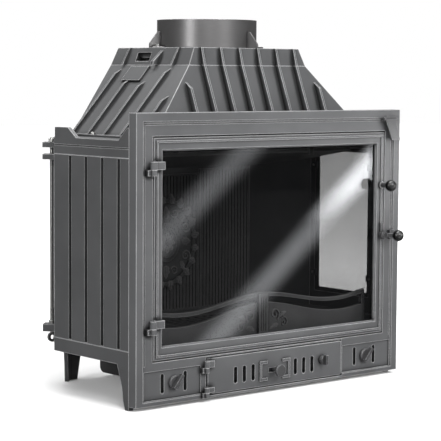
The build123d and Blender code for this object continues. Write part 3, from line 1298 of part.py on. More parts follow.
def log_guard():
    """Wavy log guard: a thin top bar over a long slot, a plate below it and a fluted post in the middle."""
    half = HALF - GUARD_SIDE_GAP
    front = FRAME_DEPTH + GUARD_SETBACK
    top = guard_wave(-half, half, front, 0.0, spans=12)
    left_foot, right_foot = (-half, front, FLOOR_TOP), (half, front, FLOOR_TOP)
    edges = [top, Line(top @ 1, right_foot), Line(right_foot, left_foot), Line(left_foot, top @ 0)]
    guard = extrude(make_face(edges), amount=GUARD_THICK, dir=(0, 1, 0))
    post_side = GUARD_POST_HALF - GUARD_POST_LAP
    for x0, x1 in ((-half + GUARD_END, -post_side), (post_side, half - GUARD_END)):
        upper = guard_wave(x0, x1, front, GUARD_BAR)
        lower = guard_wave(x0, x1, front, GUARD_BAR + GUARD_SLOT, GUARD_SLOT_GROWTH)
        edges = [upper, lower, Line(upper @ 0, lower @ 0), Line(upper @ 1, lower @ 1)]
        guard -= extrude(make_face(edges), amount=GUARD_THICK, dir=(0, 1, 0))
    post_front = front - GUARD_POST_PROUD
    post_top = guard_height(0) - GUARD_POST_DROP
    guard += block(-GUARD_POST_HALF, GUARD_POST_HALF, post_front, front, FLOOR_TOP, post_top)
    for x in (-GUARD_FLUTE_PITCH, 0, GUARD_FLUTE_PITCH):
        guard -= block(
            x - GUARD_FLUTE / 2, x + GUARD_FLUTE / 2, post_front, post_front + GUARD_FLUTE,
            FLOOR_TOP + GUARD_FLUTE_MARGIN, post_top - GUARD_FLUTE_MARGIN)
    return guard


def ash_box():
    """Sheet-steel ash box under the floor, and the pan that slides in it."""
    low, high, wall = ASH_BOX_BOTTOM, FLOOR_UNDER, ASH_BOX_WALL
    front, back = FRAME_DEPTH, BACK_INSIDE
    heel = ASH_BOX_HEEL
    box = block(-ASH_BOX_HALF, ASH_BOX_HALF, front, back, low, high)
    heel_edge = box.edges().filter_by(Axis.X).group_by(Axis.Z)[0].sort_by(Axis.Y)[-1]
    box = fillet(heel_edge, heel)
    inner = block(-ASH_BOX_HALF + wall, ASH_BOX_HALF - wall, front + wall, back - wall, low + wall, high)
    inner_edge = inner.edges().filter_by(Axis.X).group_by(Axis.Z)[0].sort_by(Axis.Y)[-1]
    box -= fillet(inner_edge, heel - wall)
    box -= block(
        -ASH_OPENING_HALF, ASH_OPENING_HALF, front, front + wall, ASH_OPENING_BOTTOM, ASH_OPENING_TOP)
    keep("ash_box", box)
    pan_half = ASH_OPENING_HALF - PAN_SIDE_GAP
    pan_front, pan_back = front + PAN_FRONT_GAP, back - PAN_BACK_GAP
    pan_low, pan_high = low + wall, low + wall + PAN_HEIGHT
    pan = block(-pan_half, pan_half, pan_front, pan_back, pan_low, pan_high)
    pan -= block(
        -pan_half + PAN_WALL, pan_half - PAN_WALL, pan_front + PAN_WALL, pan_back - PAN_WALL,
        pan_low + PAN_WALL, pan_high)
    lip = block(
        -PAN_LIP_HALF, PAN_LIP_HALF, pan_front - PAN_LIP, pan_front, pan_high - PAN_LIP_HEIGHT, pan_high)
    keep("ash_pan", pan + lip)


def top_plate():
    """Top plate with its rim, corner upstands, rod channel and upper tie-rod ears."""
    plate = prism_z(shell_plan(0), WALL_TOP, RIM_TOP)
    plate -= prism_z(shell_plan(WALL), WALL_TOP, TOP_UNDER)
    hole = hexagon(HOOD_HOLE_HALF, HOOD_HOLE_FRONT, HOOD_HOLE_BACK, HOOD_HOLE_CORNER)
    plate -= prism_z(hole, TOP_UNDER, RIM_TOP)
    foot = RIM_TOP - UPSTAND_ROOT
    front_top = RIM_TOP + FRONT_UPSTAND
    front_stand = [
        (FRAME_DEPTH, foot), (FRAME_DEPTH, front_top), (FRAME_DEPTH + FRONT_UPSTAND_TOP, front_top),
        (FRAME_DEPTH + FRONT_UPSTAND_FOOT, foot)]
    rear_top = RIM_TOP + REAR_UPSTAND
    rear_end = SIDE_DEPTH - REAR_UPSTAND_GAP
    rear_stand = [
        (rear_end - REAR_UPSTAND_FOOT, foot), (rear_end - REAR_UPSTAND_TOP, rear_top), (rear_end, rear_top),
        (rear_end, foot)]
    for x0, x1 in ((-HALF, -HALF + WALL), (HALF - WALL, HALF)):
        plate += prism_x(front_stand, x0, x1)
        plate += prism_x(rear_stand, x0, x1)
    # Shallow step line half-way up the rim
    line_low = WALL_TOP + RIM_LINE_RISE
    line = prism_z(shell_plan(0), line_low, line_low + RIM_LINE_WIDTH)
    plate -= line - prism_z(shell_plan(RIM_LINE_DEPTH), line_low, line_low + RIM_LINE_WIDTH)
    for side in (-1, 1):
        plate += tie_ear(side, UPPER_EAR, UPPER_EAR + EAR_THICK)
    # Channel over the slot that the damper arm runs in
    arm_front = DAMPER_ARM_Y - DAMPER_TRAVEL - CHANNEL_END
    arm_back = DAMPER_ARM_Y + DAMPER_ARM_DEPTH + CHANNEL_END
    inner = CHANNEL_HALF - CHANNEL_WALL
    inner_top = DAMPER_Z + CHANNEL_RISE
    plate += block(
        DAMPER_X - CHANNEL_HALF, DAMPER_X + CHANNEL_HALF, FRAME_DEPTH, arm_back + CHANNEL_BACK, RIM_TOP,
        inner_top + CHANNEL_WALL)
    plate -= block(DAMPER_X - inner, DAMPER_X + inner, FRAME_DEPTH, arm_back, RIM_TOP, inner_top)
    plate -= block(
        DAMPER_X - DAMPER_SLOT_HALF, DAMPER_X + DAMPER_SLOT_HALF, arm_front, arm_back, TOP_UNDER, RIM_TOP)
    return plate


def damper():
    """Throat damper: sliding plate with its arm, the rod through the frame, the pull tab and two rails."""
    low, high = DAMPER_LOW, DAMPER_TOP
    front, lug_back = DAMPER_PLATE_FRONT, DAMPER_PLATE_FRONT + DAMPER_LUG
    lug_side = DAMPER_X + DAMPER_FOOT_HALF
    plate = block(-DAMPER_PLATE_HALF, DAMPER_PLATE_HALF, front, front + DAMPER_PLATE_DEPTH, low, high)
    plate += block(DAMPER_PLATE_HALF - DAMPER_ARM_HALF, lug_side, front, lug_back, low, high)
    plate += block(DAMPER_X - DAMPER_FOOT_HALF, lug_side, DAMPER_ARM_Y, lug_back, low, high)
    keep("damper_plate", plate)
    stop_back = -BAND_PROUD - PLAY
    stop_front = stop_back - STOP_THICK
    barrel_y = stop_front - TAB_BARREL_GAP
    rod = round_y(DAMPER_X, stop_back - PLAY, DAMPER_ARM_Y + DAMPER_ARM_HALF, DAMPER_Z, DAMPER_ROD_RADIUS)
    rod += round_y(DAMPER_X, stop_front, stop_back, DAMPER_Z, STOP_RADIUS)
    rod += block(
        DAMPER_X - DAMPER_ARM_HALF, DAMPER_X + DAMPER_ARM_HALF, DAMPER_ARM_Y, DAMPER_ARM_Y + DAMPER_ARM_DEPTH,
        high, DAMPER_Z + DAMPER_ROD_RADIUS)
    keep("damper_rod", rod)
    tab = round_x(DAMPER_X - TAB_BARREL_HALF, DAMPER_X + TAB_BARREL_HALF, barrel_y, DAMPER_Z, TAB_BARREL)
    bottom = DAMPER_Z - TAB_DROP
    tab_back = barrel_y - LOOSE
    tab_left, tab_right = DAMPER_X - TAB_TOP_HALF, DAMPER_X + TAB_TOP_HALF
    tab += prism_y([
        (tab_left, DAMPER_Z), (tab_right, DAMPER_Z), (tab_right + TAB_SLANT_RIGHT, bottom),
        (tab_left + TAB_SLANT_LEFT, bottom)], tab_back - TAB_THICK, tab_back)
    keep("damper_tab", tab - rod)
    rails = []
    rail_top = low - PLAY
    rail_low = rail_top - RAIL_HEIGHT
    rail_front = HOOD_HOLE_FRONT - RAIL_LUG_SEAT
    for side in (-1, 1):
        x0, x1 = side * RAIL_X - RAIL_HALF, side * RAIL_X + RAIL_HALF
        rail = block(x0, x1, rail_front, BACK_INSIDE, rail_low, rail_top)
        rail += block(x0, x1, rail_front, rail_front + RAIL_LUG, rail_low, TOP_UNDER)
        rails.append(rail + prism_x(baffle_hook(rail_low), x0, x1))
    keep("damper_rails", Compound(children=rails))


def baffle_underside(y):
    """Height of the sloping baffle's underside."""
    slope = (BAFFLE_FRONT_Z - BAFFLE_REAR_Z) / (BAFFLE_BACK - BAFFLE_FRONT)
    return BAFFLE_REAR_Z + slope * (BAFFLE_BACK - y)


def baffle_hook(rail_low):
    """Side outline of the hook under a rail that carries the baffle's front edge."""
    face = BAFFLE_FRONT - LOOSE
    tip = BAFFLE_FRONT + HOOK_REACH
    return [
        (face - HOOK_THICK, rail_low), (face, rail_low), (face, baffle_underside(face)),
        (tip, baffle_underside(tip)), (tip, baffle_underside(tip) - HOOK_THICK),
        (face - HOOK_THICK, baffle_underside(face) - HOOK_THICK)]


def baffle():
    """Sloping smoke baffle, high at the front, and the two lugs that carry its rear edge."""
    front_top, rear_top = BAFFLE_FRONT_Z + BAFFLE_THICK, BAFFLE_REAR_Z + BAFFLE_THICK
    slab = prism_x([
        (BAFFLE_FRONT, BAFFLE_FRONT_Z), (BAFFLE_BACK, BAFFLE_REAR_Z), (BAFFLE_BACK, rear_top),
        (BAFFLE_FRONT, front_top)], -BAFFLE_HALF, BAFFLE_HALF)
    outline = hexagon(BAFFLE_HALF, BAFFLE_FRONT, BAFFLE_BACK, CORNER_CUT - BAFFLE_CORNER_GAP)
    keep("baffle", slab & prism_z(outline, BAFFLE_REAR_Z, front_top))
    low, high = FIREBACK_SIDE_TOP, BAFFLE_REAR_Z
    front = FIREBACK_FRONT - SUPPORT_REACH
    bar_y = (front + FIREBACK_FRONT) / 2
    lugs = []
    for x in (-SUPPORT_X, SUPPORT_X):
        lug = block(x - SUPPORT_HALF, x + SUPPORT_HALF, front, BACK_INSIDE, low, high)
        bar_end = x + SUPPORT_HALF + SUPPORT_BAR_LENGTH
        lugs.append(lug + round_x(x, bar_end, bar_y, (low + high) / 2, SUPPORT_BAR))
    keep("baffle_brackets", Compound(children=lugs))


def hood_front(z):
    """Y of the hood's front face at a height."""
    if z < HOOD_SEAM_Z:
        share = (z - RIM_TOP) / HOOD_LOWER_RISE
        return HOOD_BASE_FRONT + share * (HOOD_SEAM_FRONT - HOOD_BASE_FRONT)
    share = (z - HOOD_SEAM_Z) / HOOD_UPPER_RISE
    return HOOD_SEAM_FRONT + share * (HOOD_TOP_FRONT - HOOD_SEAM_FRONT)


def hood_half(z):
    """Half width of the hood at a height."""
    if z < HOOD_SEAM_Z:
        share = (z - RIM_TOP) / HOOD_LOWER_RISE
        return HOOD_BASE_HALF + share * (HOOD_SEAM_HALF - HOOD_BASE_HALF)
    share = (z - HOOD_SEAM_Z) / HOOD_UPPER_RISE
    return HOOD_SEAM_HALF + share * (HOOD_TOP_HALF - HOOD_SEAM_HALF)


def hood_void(half0, front0, back0, cut0, z0, half1, front1, back1, cut1, z1):
    """Inside of one part of the hood, a wall's thickness in from its slanting faces."""
    rise = z1 - z0
    side = HOOD_WALL * hypotenuse(half1 - half0, rise) / rise
    ahead = HOOD_WALL * hypotenuse(front1 - front0, rise) / rise
    behind = HOOD_WALL * hypotenuse(back1 - back0, rise) / rise
    ease = HOOD_WALL * (2 - sqrt(2))
    return lofted(
        (hexagon(half0 - side, front0 + ahead, back0 - behind, cut0 - ease), z0),
        (hexagon(half1 - side, front1 + ahead, back1 - behind, cut1 - ease), z1))


def both_sides(hood, piece):
    """Adds a piece and its mirror image to the hood."""
    return hood + piece + mirrored(piece)


def front_fin(x, top):
    """Upright fin on the lower hood's front face, with a foot on the top plate."""
    toe = FRAME_DEPTH + FRONT_FIN_TOE
    knee = HOOD_BASE_FRONT + FRONT_FIN_KNEE
    knee_z = RIM_TOP + FRONT_FIN_KNEE_HEIGHT
    slope = (HOOD_SEAM_FRONT - FRONT_FIN_EDGE - knee) / (HOOD_SEAM_Z - knee_z)
    edge_z = top if top >= HOOD_SEAM_Z else top - SHORT_FIN_SLOPE
    points = [
        (hood_front(RIM_TOP) + FIN_ROOT, RIM_TOP), (toe, RIM_TOP), (toe, RIM_TOP + FRONT_FIN_TOE_HEIGHT),
        (knee, knee_z), (knee + slope * (edge_z - knee_z), edge_z), (hood_front(top) + FIN_ROOT, top)]
    return prism_x(points, x - FIN_THICK / 2, x + FIN_THICK / 2)


def side_fin(y, top):
    """Upright fin on the lower hood's left face."""
    edge = top - SIDE_FIN_SLOPE if top < HOOD_SEAM_Z else top
    points = [
        (-hood_half(RIM_TOP) + FIN_ROOT, RIM_TOP), (-hood_half(RIM_TOP) - SIDE_FIN_FOOT, RIM_TOP),
        (-hood_half(edge) - SIDE_FIN_EDGE, edge), (-hood_half(top) + FIN_ROOT, top)]
    return prism_y(points, y - FIN_THICK / 2, y + FIN_THICK / 2)


def side_fin_y(i):
    """Depth of one of the side fins, counted from the front."""
    return SIDE_FIN_FIRST + i * SIDE_FIN_PITCH


def hood_lower():
    """Lower part of the smoke hood, with its flange, fins and bolts."""
    base = hexagon(HOOD_BASE_HALF, HOOD_BASE_FRONT, HOOD_BASE_BACK, HOOD_BASE_CHAMFER)
    seam = hexagon(HOOD_SEAM_HALF, HOOD_SEAM_FRONT, HOOD_SEAM_BACK, HOOD_TOP_CHAMFER)
    hood = lofted((base, RIM_TOP), (seam, HOOD_SEAM_Z))
    for i in range(FRONT_FINS):
        hood = both_sides(hood, front_fin(FRONT_FIN_PITCH * (i + 0.5), HOOD_SEAM_Z))
    hood = both_sides(hood, front_fin(FRONT_FIN_PITCH * (FRONT_FINS + 0.5), HOOD_SEAM_Z - SHORT_FIN_DROP))
    for i, drop in enumerate(SIDE_FIN_DROPS):
        hood = both_sides(hood, side_fin(side_fin_y(i), HOOD_SEAM_Z - drop))
    # Raised plate high on each side
    high = HOOD_SEAM_Z - NAME_PLATE_DROP
    low = high - NAME_PLATE_HEIGHT
    plate = prism_y([
        (-hood_half(low) - NAME_PLATE_PROUD, low), (-hood_half(high) - NAME_PLATE_PROUD, high),
        (-hood_half(high) + FIN_ROOT, high), (-hood_half(low) + FIN_ROOT, low),
    ], side_fin_y(2) + NAME_PLATE_FRONT, side_fin_y(3) + NAME_PLATE_BACK)
    hood = both_sides(hood, plate)
    flange_top = RIM_TOP + FLANGE_THICK
    hood += prism_z(hexagon(
        HOOD_BASE_HALF + FLANGE_SIDE, HOOD_BASE_FRONT + FLANGE_FRONT, HOOD_BASE_BACK + FLANGE_BACK,
        HOOD_BASE_CHAMFER), RIM_TOP, flange_top)
    hood -= hood_void(
        HOOD_BASE_HALF, HOOD_BASE_FRONT, HOOD_BASE_BACK, HOOD_BASE_CHAMFER, RIM_TOP,
        HOOD_SEAM_HALF, HOOD_SEAM_FRONT, HOOD_SEAM_BACK, HOOD_TOP_CHAMFER, HOOD_SEAM_Z)
    bolts = []
    for side in (-1, 1):
        for gap in (0.5, 2.5):
            x, y = side * (HOOD_BASE_HALF + FLANGE_SIDE / 2), side_fin_y(gap)
            shank = round_z(x, y, RIM_TOP, flange_top, BOLT_RADIUS)
            hood -= shank
            bolts.append(shank + hexagon_head(x, y, flange_top, BOLT_ACROSS, BOLT_HEAD, "+z"))
    keep("hood_lower", hood)
    keep("hood_bolts", Compound(children=bolts))


def hood_upper():
    """Upper part of the hood: short steep sides, fins, side pockets and the flat that carries the collar."""
    seam = hexagon(HOOD_SEAM_HALF, HOOD_SEAM_FRONT, HOOD_SEAM_BACK, HOOD_TOP_CHAMFER)
    top = hexagon(HOOD_TOP_HALF, HOOD_TOP_FRONT, HOOD_TOP_BACK, HOOD_TOP_CHAMFER)
    hood = lofted((seam, HOOD_SEAM_Z), (top, HOOD_TOP_Z))
    for i in range(FRONT_FINS):
        x = FRONT_FIN_PITCH * (i + 0.5)
        fin = prism_x([
            (HOOD_SEAM_FRONT + FIN_ROOT, HOOD_SEAM_Z), (HOOD_SEAM_FRONT - FRONT_FIN_EDGE, HOOD_SEAM_Z),
            (HOOD_TOP_FRONT - FRONT_FIN_TIP, HOOD_TOP_Z), (HOOD_TOP_FRONT + FIN_ROOT, HOOD_TOP_Z),
        ], x - FIN_THICK / 2, x + FIN_THICK / 2)
        hood = both_sides(hood, fin)
    for i in (1, 4):
        fin = prism_y([
            (-HOOD_SEAM_HALF + FIN_ROOT, HOOD_SEAM_Z), (-HOOD_SEAM_HALF - SIDE_FIN_FOOT, HOOD_SEAM_Z),
            (-HOOD_TOP_HALF - SIDE_FIN_TIP, HOOD_TOP_Z), (-HOOD_TOP_HALF + FIN_ROOT, HOOD_TOP_Z),
        ], side_fin_y(i) - FIN_THICK / 2, side_fin_y(i) + FIN_THICK / 2)
        hood = both_sides(hood, fin)
    tip = HOOD_SEAM_HALF + GUSSET_REACH
    gusset = prism_y([
        (-HOOD_SEAM_HALF + FIN_ROOT, HOOD_SEAM_Z), (-tip, HOOD_SEAM_Z),
        (GUSSET_TAPER - tip, HOOD_SEAM_Z + POCKET_RISE), (-HOOD_TOP_HALF + FIN_ROOT, HOOD_TOP_Z),
    ], side_fin_y(2) - GUSSET_THICK / 2, side_fin_y(2) + GUSSET_THICK / 2)
    hood = both_sides(hood, gusset)
    pocket = block(
        -HOOD_SEAM_HALF, POCKET_FLOOR - HOOD_TOP_HALF, side_fin_y(3) - POCKET_HALF,
        side_fin_y(3) + POCKET_HALF, HOOD_SEAM_Z + POCKET_RISE, HOOD_TOP_Z - POCKET_DROP)
    hood -= pocket
    hood -= mirrored(pocket)
    ceiling = HOOD_TOP_Z - HOOD_TOP_THICK
    share = (ceiling - HOOD_SEAM_Z) / HOOD_UPPER_RISE
    hood -= hood_void(
        HOOD_SEAM_HALF - POCKET_BACKING, HOOD_SEAM_FRONT, HOOD_SEAM_BACK, HOOD_TOP_CHAMFER, HOOD_SEAM_Z,
        hood_half(ceiling) - POCKET_BACKING, hood_front(ceiling), HOOD_SEAM_BACK - share * HOOD_SEAM_END,
        HOOD_TOP_CHAMFER, ceiling)
    hood -= round_z(0, FLUE_Y, ceiling, HOOD_TOP_Z, FLUE_RADIUS - HOOD_LIP)
    return hood


def collar():
    """Steel flue collar with three gusset lugs, bolted down to the upper hood."""
    ring = round_z(0, FLUE_Y, HOOD_TOP_Z, COLLAR_TOP, COLLAR_RADIUS)
    hood = hood_upper()
    bolts = []
    foot_top = HOOD_TOP_Z + GUSSET_PLATE
    half = GUSSET_PLATE / 2
    root = COLLAR_RADIUS - COLLAR_WALL / 2
    tip = COLLAR_RADIUS + LUG_REACH
    bolt_x = COLLAR_RADIUS + LUG_BOLT_OUT
    for angle in COLLAR_LUG_ANGLES:
        turn = Pos(0, FLUE_Y, 0) * Rot(0, 0, angle)
        gusset = prism_y([
            (root, HOOD_TOP_Z), (tip, HOOD_TOP_Z), (tip, HOOD_TOP_Z + LUG_TOE),
            (COLLAR_RADIUS + LUG_TOP, HOOD_TOP_Z + LUG_HEIGHT), (root, HOOD_TOP_Z + LUG_HEIGHT)], -half, half)
        foot = block(root, tip, -half, LUG_FOOT_WIDTH, HOOD_TOP_Z, foot_top)
        hole = round_z(bolt_x, LUG_BOLT_SIDE, HOOD_TOP_Z - HOOD_TOP_THICK, foot_top, BOLT_RADIUS)
        ring += turn * (gusset + foot)
        ring -= turn * hole
        hood -= turn * hole
        head = hexagon_head(bolt_x, LUG_BOLT_SIDE, foot_top, BOLT_ACROSS, BOLT_HEAD, "+z")
        bolts.append(turn * (hole + head))
    ring -= round_z(0, FLUE_Y, HOOD_TOP_Z, COLLAR_TOP, FLUE_RADIUS)
    keep("hood_upper", hood)
    keep("flue_collar", ring)
    keep("collar_bolts", Compound(children=bolts))


def tie_rods():
    """Two rods with nuts on the rear corners that draw the top plate down on the walls."""
    rods = []
    nuts = []
    top = UPPER_EAR + EAR_THICK
    lower_top = LOWER_EAR + LOWER_EAR_THICK
    for side in (-1, 1):
        middle, outward = ear_centre(side)
        spot = middle + outward * TIE_ROD_OFFSET
        rod = round_z(spot.X, spot.Y, LOWER_EAR - EYE_RADIUS, top + TIE_ROD_END, TIE_ROD_RADIUS)
        eye_z = LOWER_EAR - EYE_DROP
        eye = round_y(spot.X, spot.Y - EYE_THICK / 2, spot.Y + EYE_THICK / 2, eye_z, EYE_RADIUS)
        hole = round_y(spot.X, spot.Y - EYE_THICK, spot.Y + EYE_THICK, eye_z, EYE_HOLE)
        rods.append(rod + eye - hole)
        for z in (top, lower_top):
            nut = hexagon_head(spot.X, spot.Y, z, TIE_NUT_ACROSS, TIE_NUT_HEIGHT, "+z")
            nuts.append(nut - round_z(spot.X, spot.Y, z, z + TIE_NUT_HEIGHT, TIE_ROD_RADIUS))
    keep("tie_rods", Compound(children=rods))
    keep("tie_rod_nuts", Compound(children=nuts))


def frame_bolts():
    """Bolts with corner cleats that hold the front frame to the side walls."""
    cleats = []
    bolts = []
    back = FRAME_DEPTH + CLEAT_THICK
    for side in (-1, 1):
        wall = side * (HALF - WALL)
        for z in (FLOOR_TOP + CLEAT_RISE, WALL_TOP - CLEAT_DROP):
            low, high = z - CLEAT_HALF, z + CLEAT_HALF
            cleat = block(wall, wall - side * CLEAT_FOOT, FRAME_DEPTH, back, low, high)
            cleat += block(wall, wall - side * CLEAT_THICK, FRAME_DEPTH, FRAME_DEPTH + CLEAT_LEG, low, high)
            x = wall - side * CLEAT_BOLT
            shank = round_y(x, FRAME_DEPTH, back, z, BOLT_RADIUS)
            cleats.append(cleat - shank)
            bolts.append(shank + hexagon_head(x, back, z, BOLT_ACROSS, BOLT_HEAD, "+y"))
    keep("frame_cleats", Compound(children=cleats))
    keep("frame_bolts", Compound(children=bolts))


def build():
    """Makes every piece."""
    keep("front_frame", front_frame())
    latch_keeper()
    door_frame(door_fittings())
    door_furniture()
    ash_door()
    air_slider()
    ash_catch()
    air_regulator(-1, "left")
    air_regulator(1, "right")
    keep("base_casting", base_casting())
    keep("left_side_panel", left_panel())
    keep("rear_left_panel", corner_panel(-1))
    keep("rear_right_panel", corner_panel(1))
    keep("back_panel", back_panel())
    side_window()
    firebacks()
    keep("left_lining", left_lining())
    keep("hearth_plates", hearth_plates())
    keep("grate", grate())
    keep("log_guard", log_guard())
    ash_box()
    keep("top_plate", top_plate())
    damper()
    baffle()
    hood_lower()
    collar()
    tie_rods()
    frame_bolts()


build()
os.makedirs("parts", exist_ok=True)
for part_name, part_shape in PARTS.items():
    export_step(Pos(0, FRONT_SHIFT, 0) * part_shape, f"parts/{part_name}.step")
print(len(PARTS), "pieces written, shifted by", FRONT_SHIFT, "in Y")
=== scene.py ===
"""Studio picture of a cast-iron fireplace insert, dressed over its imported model."""

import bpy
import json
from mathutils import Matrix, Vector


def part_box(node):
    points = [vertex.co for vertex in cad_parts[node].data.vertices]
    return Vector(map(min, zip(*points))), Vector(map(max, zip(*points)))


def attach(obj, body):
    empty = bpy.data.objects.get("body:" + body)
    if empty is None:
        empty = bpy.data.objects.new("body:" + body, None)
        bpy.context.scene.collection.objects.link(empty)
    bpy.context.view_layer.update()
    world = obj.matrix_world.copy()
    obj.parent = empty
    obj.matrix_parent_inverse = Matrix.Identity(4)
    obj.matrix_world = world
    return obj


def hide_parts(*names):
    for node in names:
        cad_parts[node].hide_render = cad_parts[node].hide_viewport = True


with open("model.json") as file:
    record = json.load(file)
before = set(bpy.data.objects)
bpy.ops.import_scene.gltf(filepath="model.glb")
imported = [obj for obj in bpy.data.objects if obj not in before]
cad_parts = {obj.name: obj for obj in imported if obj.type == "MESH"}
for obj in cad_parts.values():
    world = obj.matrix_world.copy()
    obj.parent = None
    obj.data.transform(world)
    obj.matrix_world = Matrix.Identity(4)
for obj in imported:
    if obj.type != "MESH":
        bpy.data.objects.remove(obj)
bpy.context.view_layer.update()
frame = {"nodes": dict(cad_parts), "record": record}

import json
import logging
import math
from dataclasses import dataclass, field
from enum import Enum
from typing import Any, Sequence

import bmesh
import bpy
from mathutils import Matrix, Vector

LOG = logging.getLogger("insert")
MM = 0.001
WHITE = (1.0, 1.0, 1.0)

Colour = tuple[float, float, float]
Point = tuple[float, float, float]
Spot = tuple[float, float]


class Socket:
    """An output of a shader node that can be used in arithmetic."""

    def __init__(self, board: "Board", link: bpy.types.NodeSocket) -> None:
        """Wraps one output of a node on the board."""
        self.board = board
        self.link = link

    def _math(self, operation: str, first: Any, second: Any, clamp: bool = False) -> "Socket":
        """The result of one Math node, from sockets or numbers."""
        settings = {"operation": operation, "use_clamp": clamp}
        return self.board.node("ShaderNodeMath", settings, {0: first, 1: second})

    def __add__(self, other: Any) -> "Socket":
        """Sum."""
        return self._math("ADD", self, other)

    def __radd__(self, other: Any) -> "Socket":
        """Sum with a number on the left."""
        return self._math("ADD", other, self)

    def __sub__(self, other: Any) -> "Socket":
        """Difference."""
        return self._math("SUBTRACT", self, other)

    def __rsub__(self, other: Any) -> "Socket":
        """Difference with a number on the left."""
        return self._math("SUBTRACT", other, self)

    def __mul__(self, other: Any) -> "Socket":
        """Product."""
        return self._math("MULTIPLY", self, other)

    def __rmul__(self, other: Any) -> "Socket":
        """Product with a number on the left."""
        return self._math("MULTIPLY", other, self)

    def __truediv__(self, other: Any) -> "Socket":
        """Quotient."""
        return self._math("DIVIDE", self, other)

    def __rtruediv__(self, other: Any) -> "Socket":
        """Quotient with a number on the left."""
        return self._math("DIVIDE", other, self)

    def __pow__(self, other: Any) -> "Socket":
        """Power."""
        return self._math("POWER", self, other)

    def __rpow__(self, other: Any) -> "Socket":
        """Power with a number as the base."""
        return self._math("POWER", other, self)

    def clamped(self) -> "Socket":
        """The same value kept between 0 and 1."""
        return self._math("ADD", self, 0.0, clamp=True)

    def between(self, start: float, end: float) -> "Socket":
        """How far the value has come from start to end, from 0 to 1."""
        return ((self - start) / (end - start)).clamped()


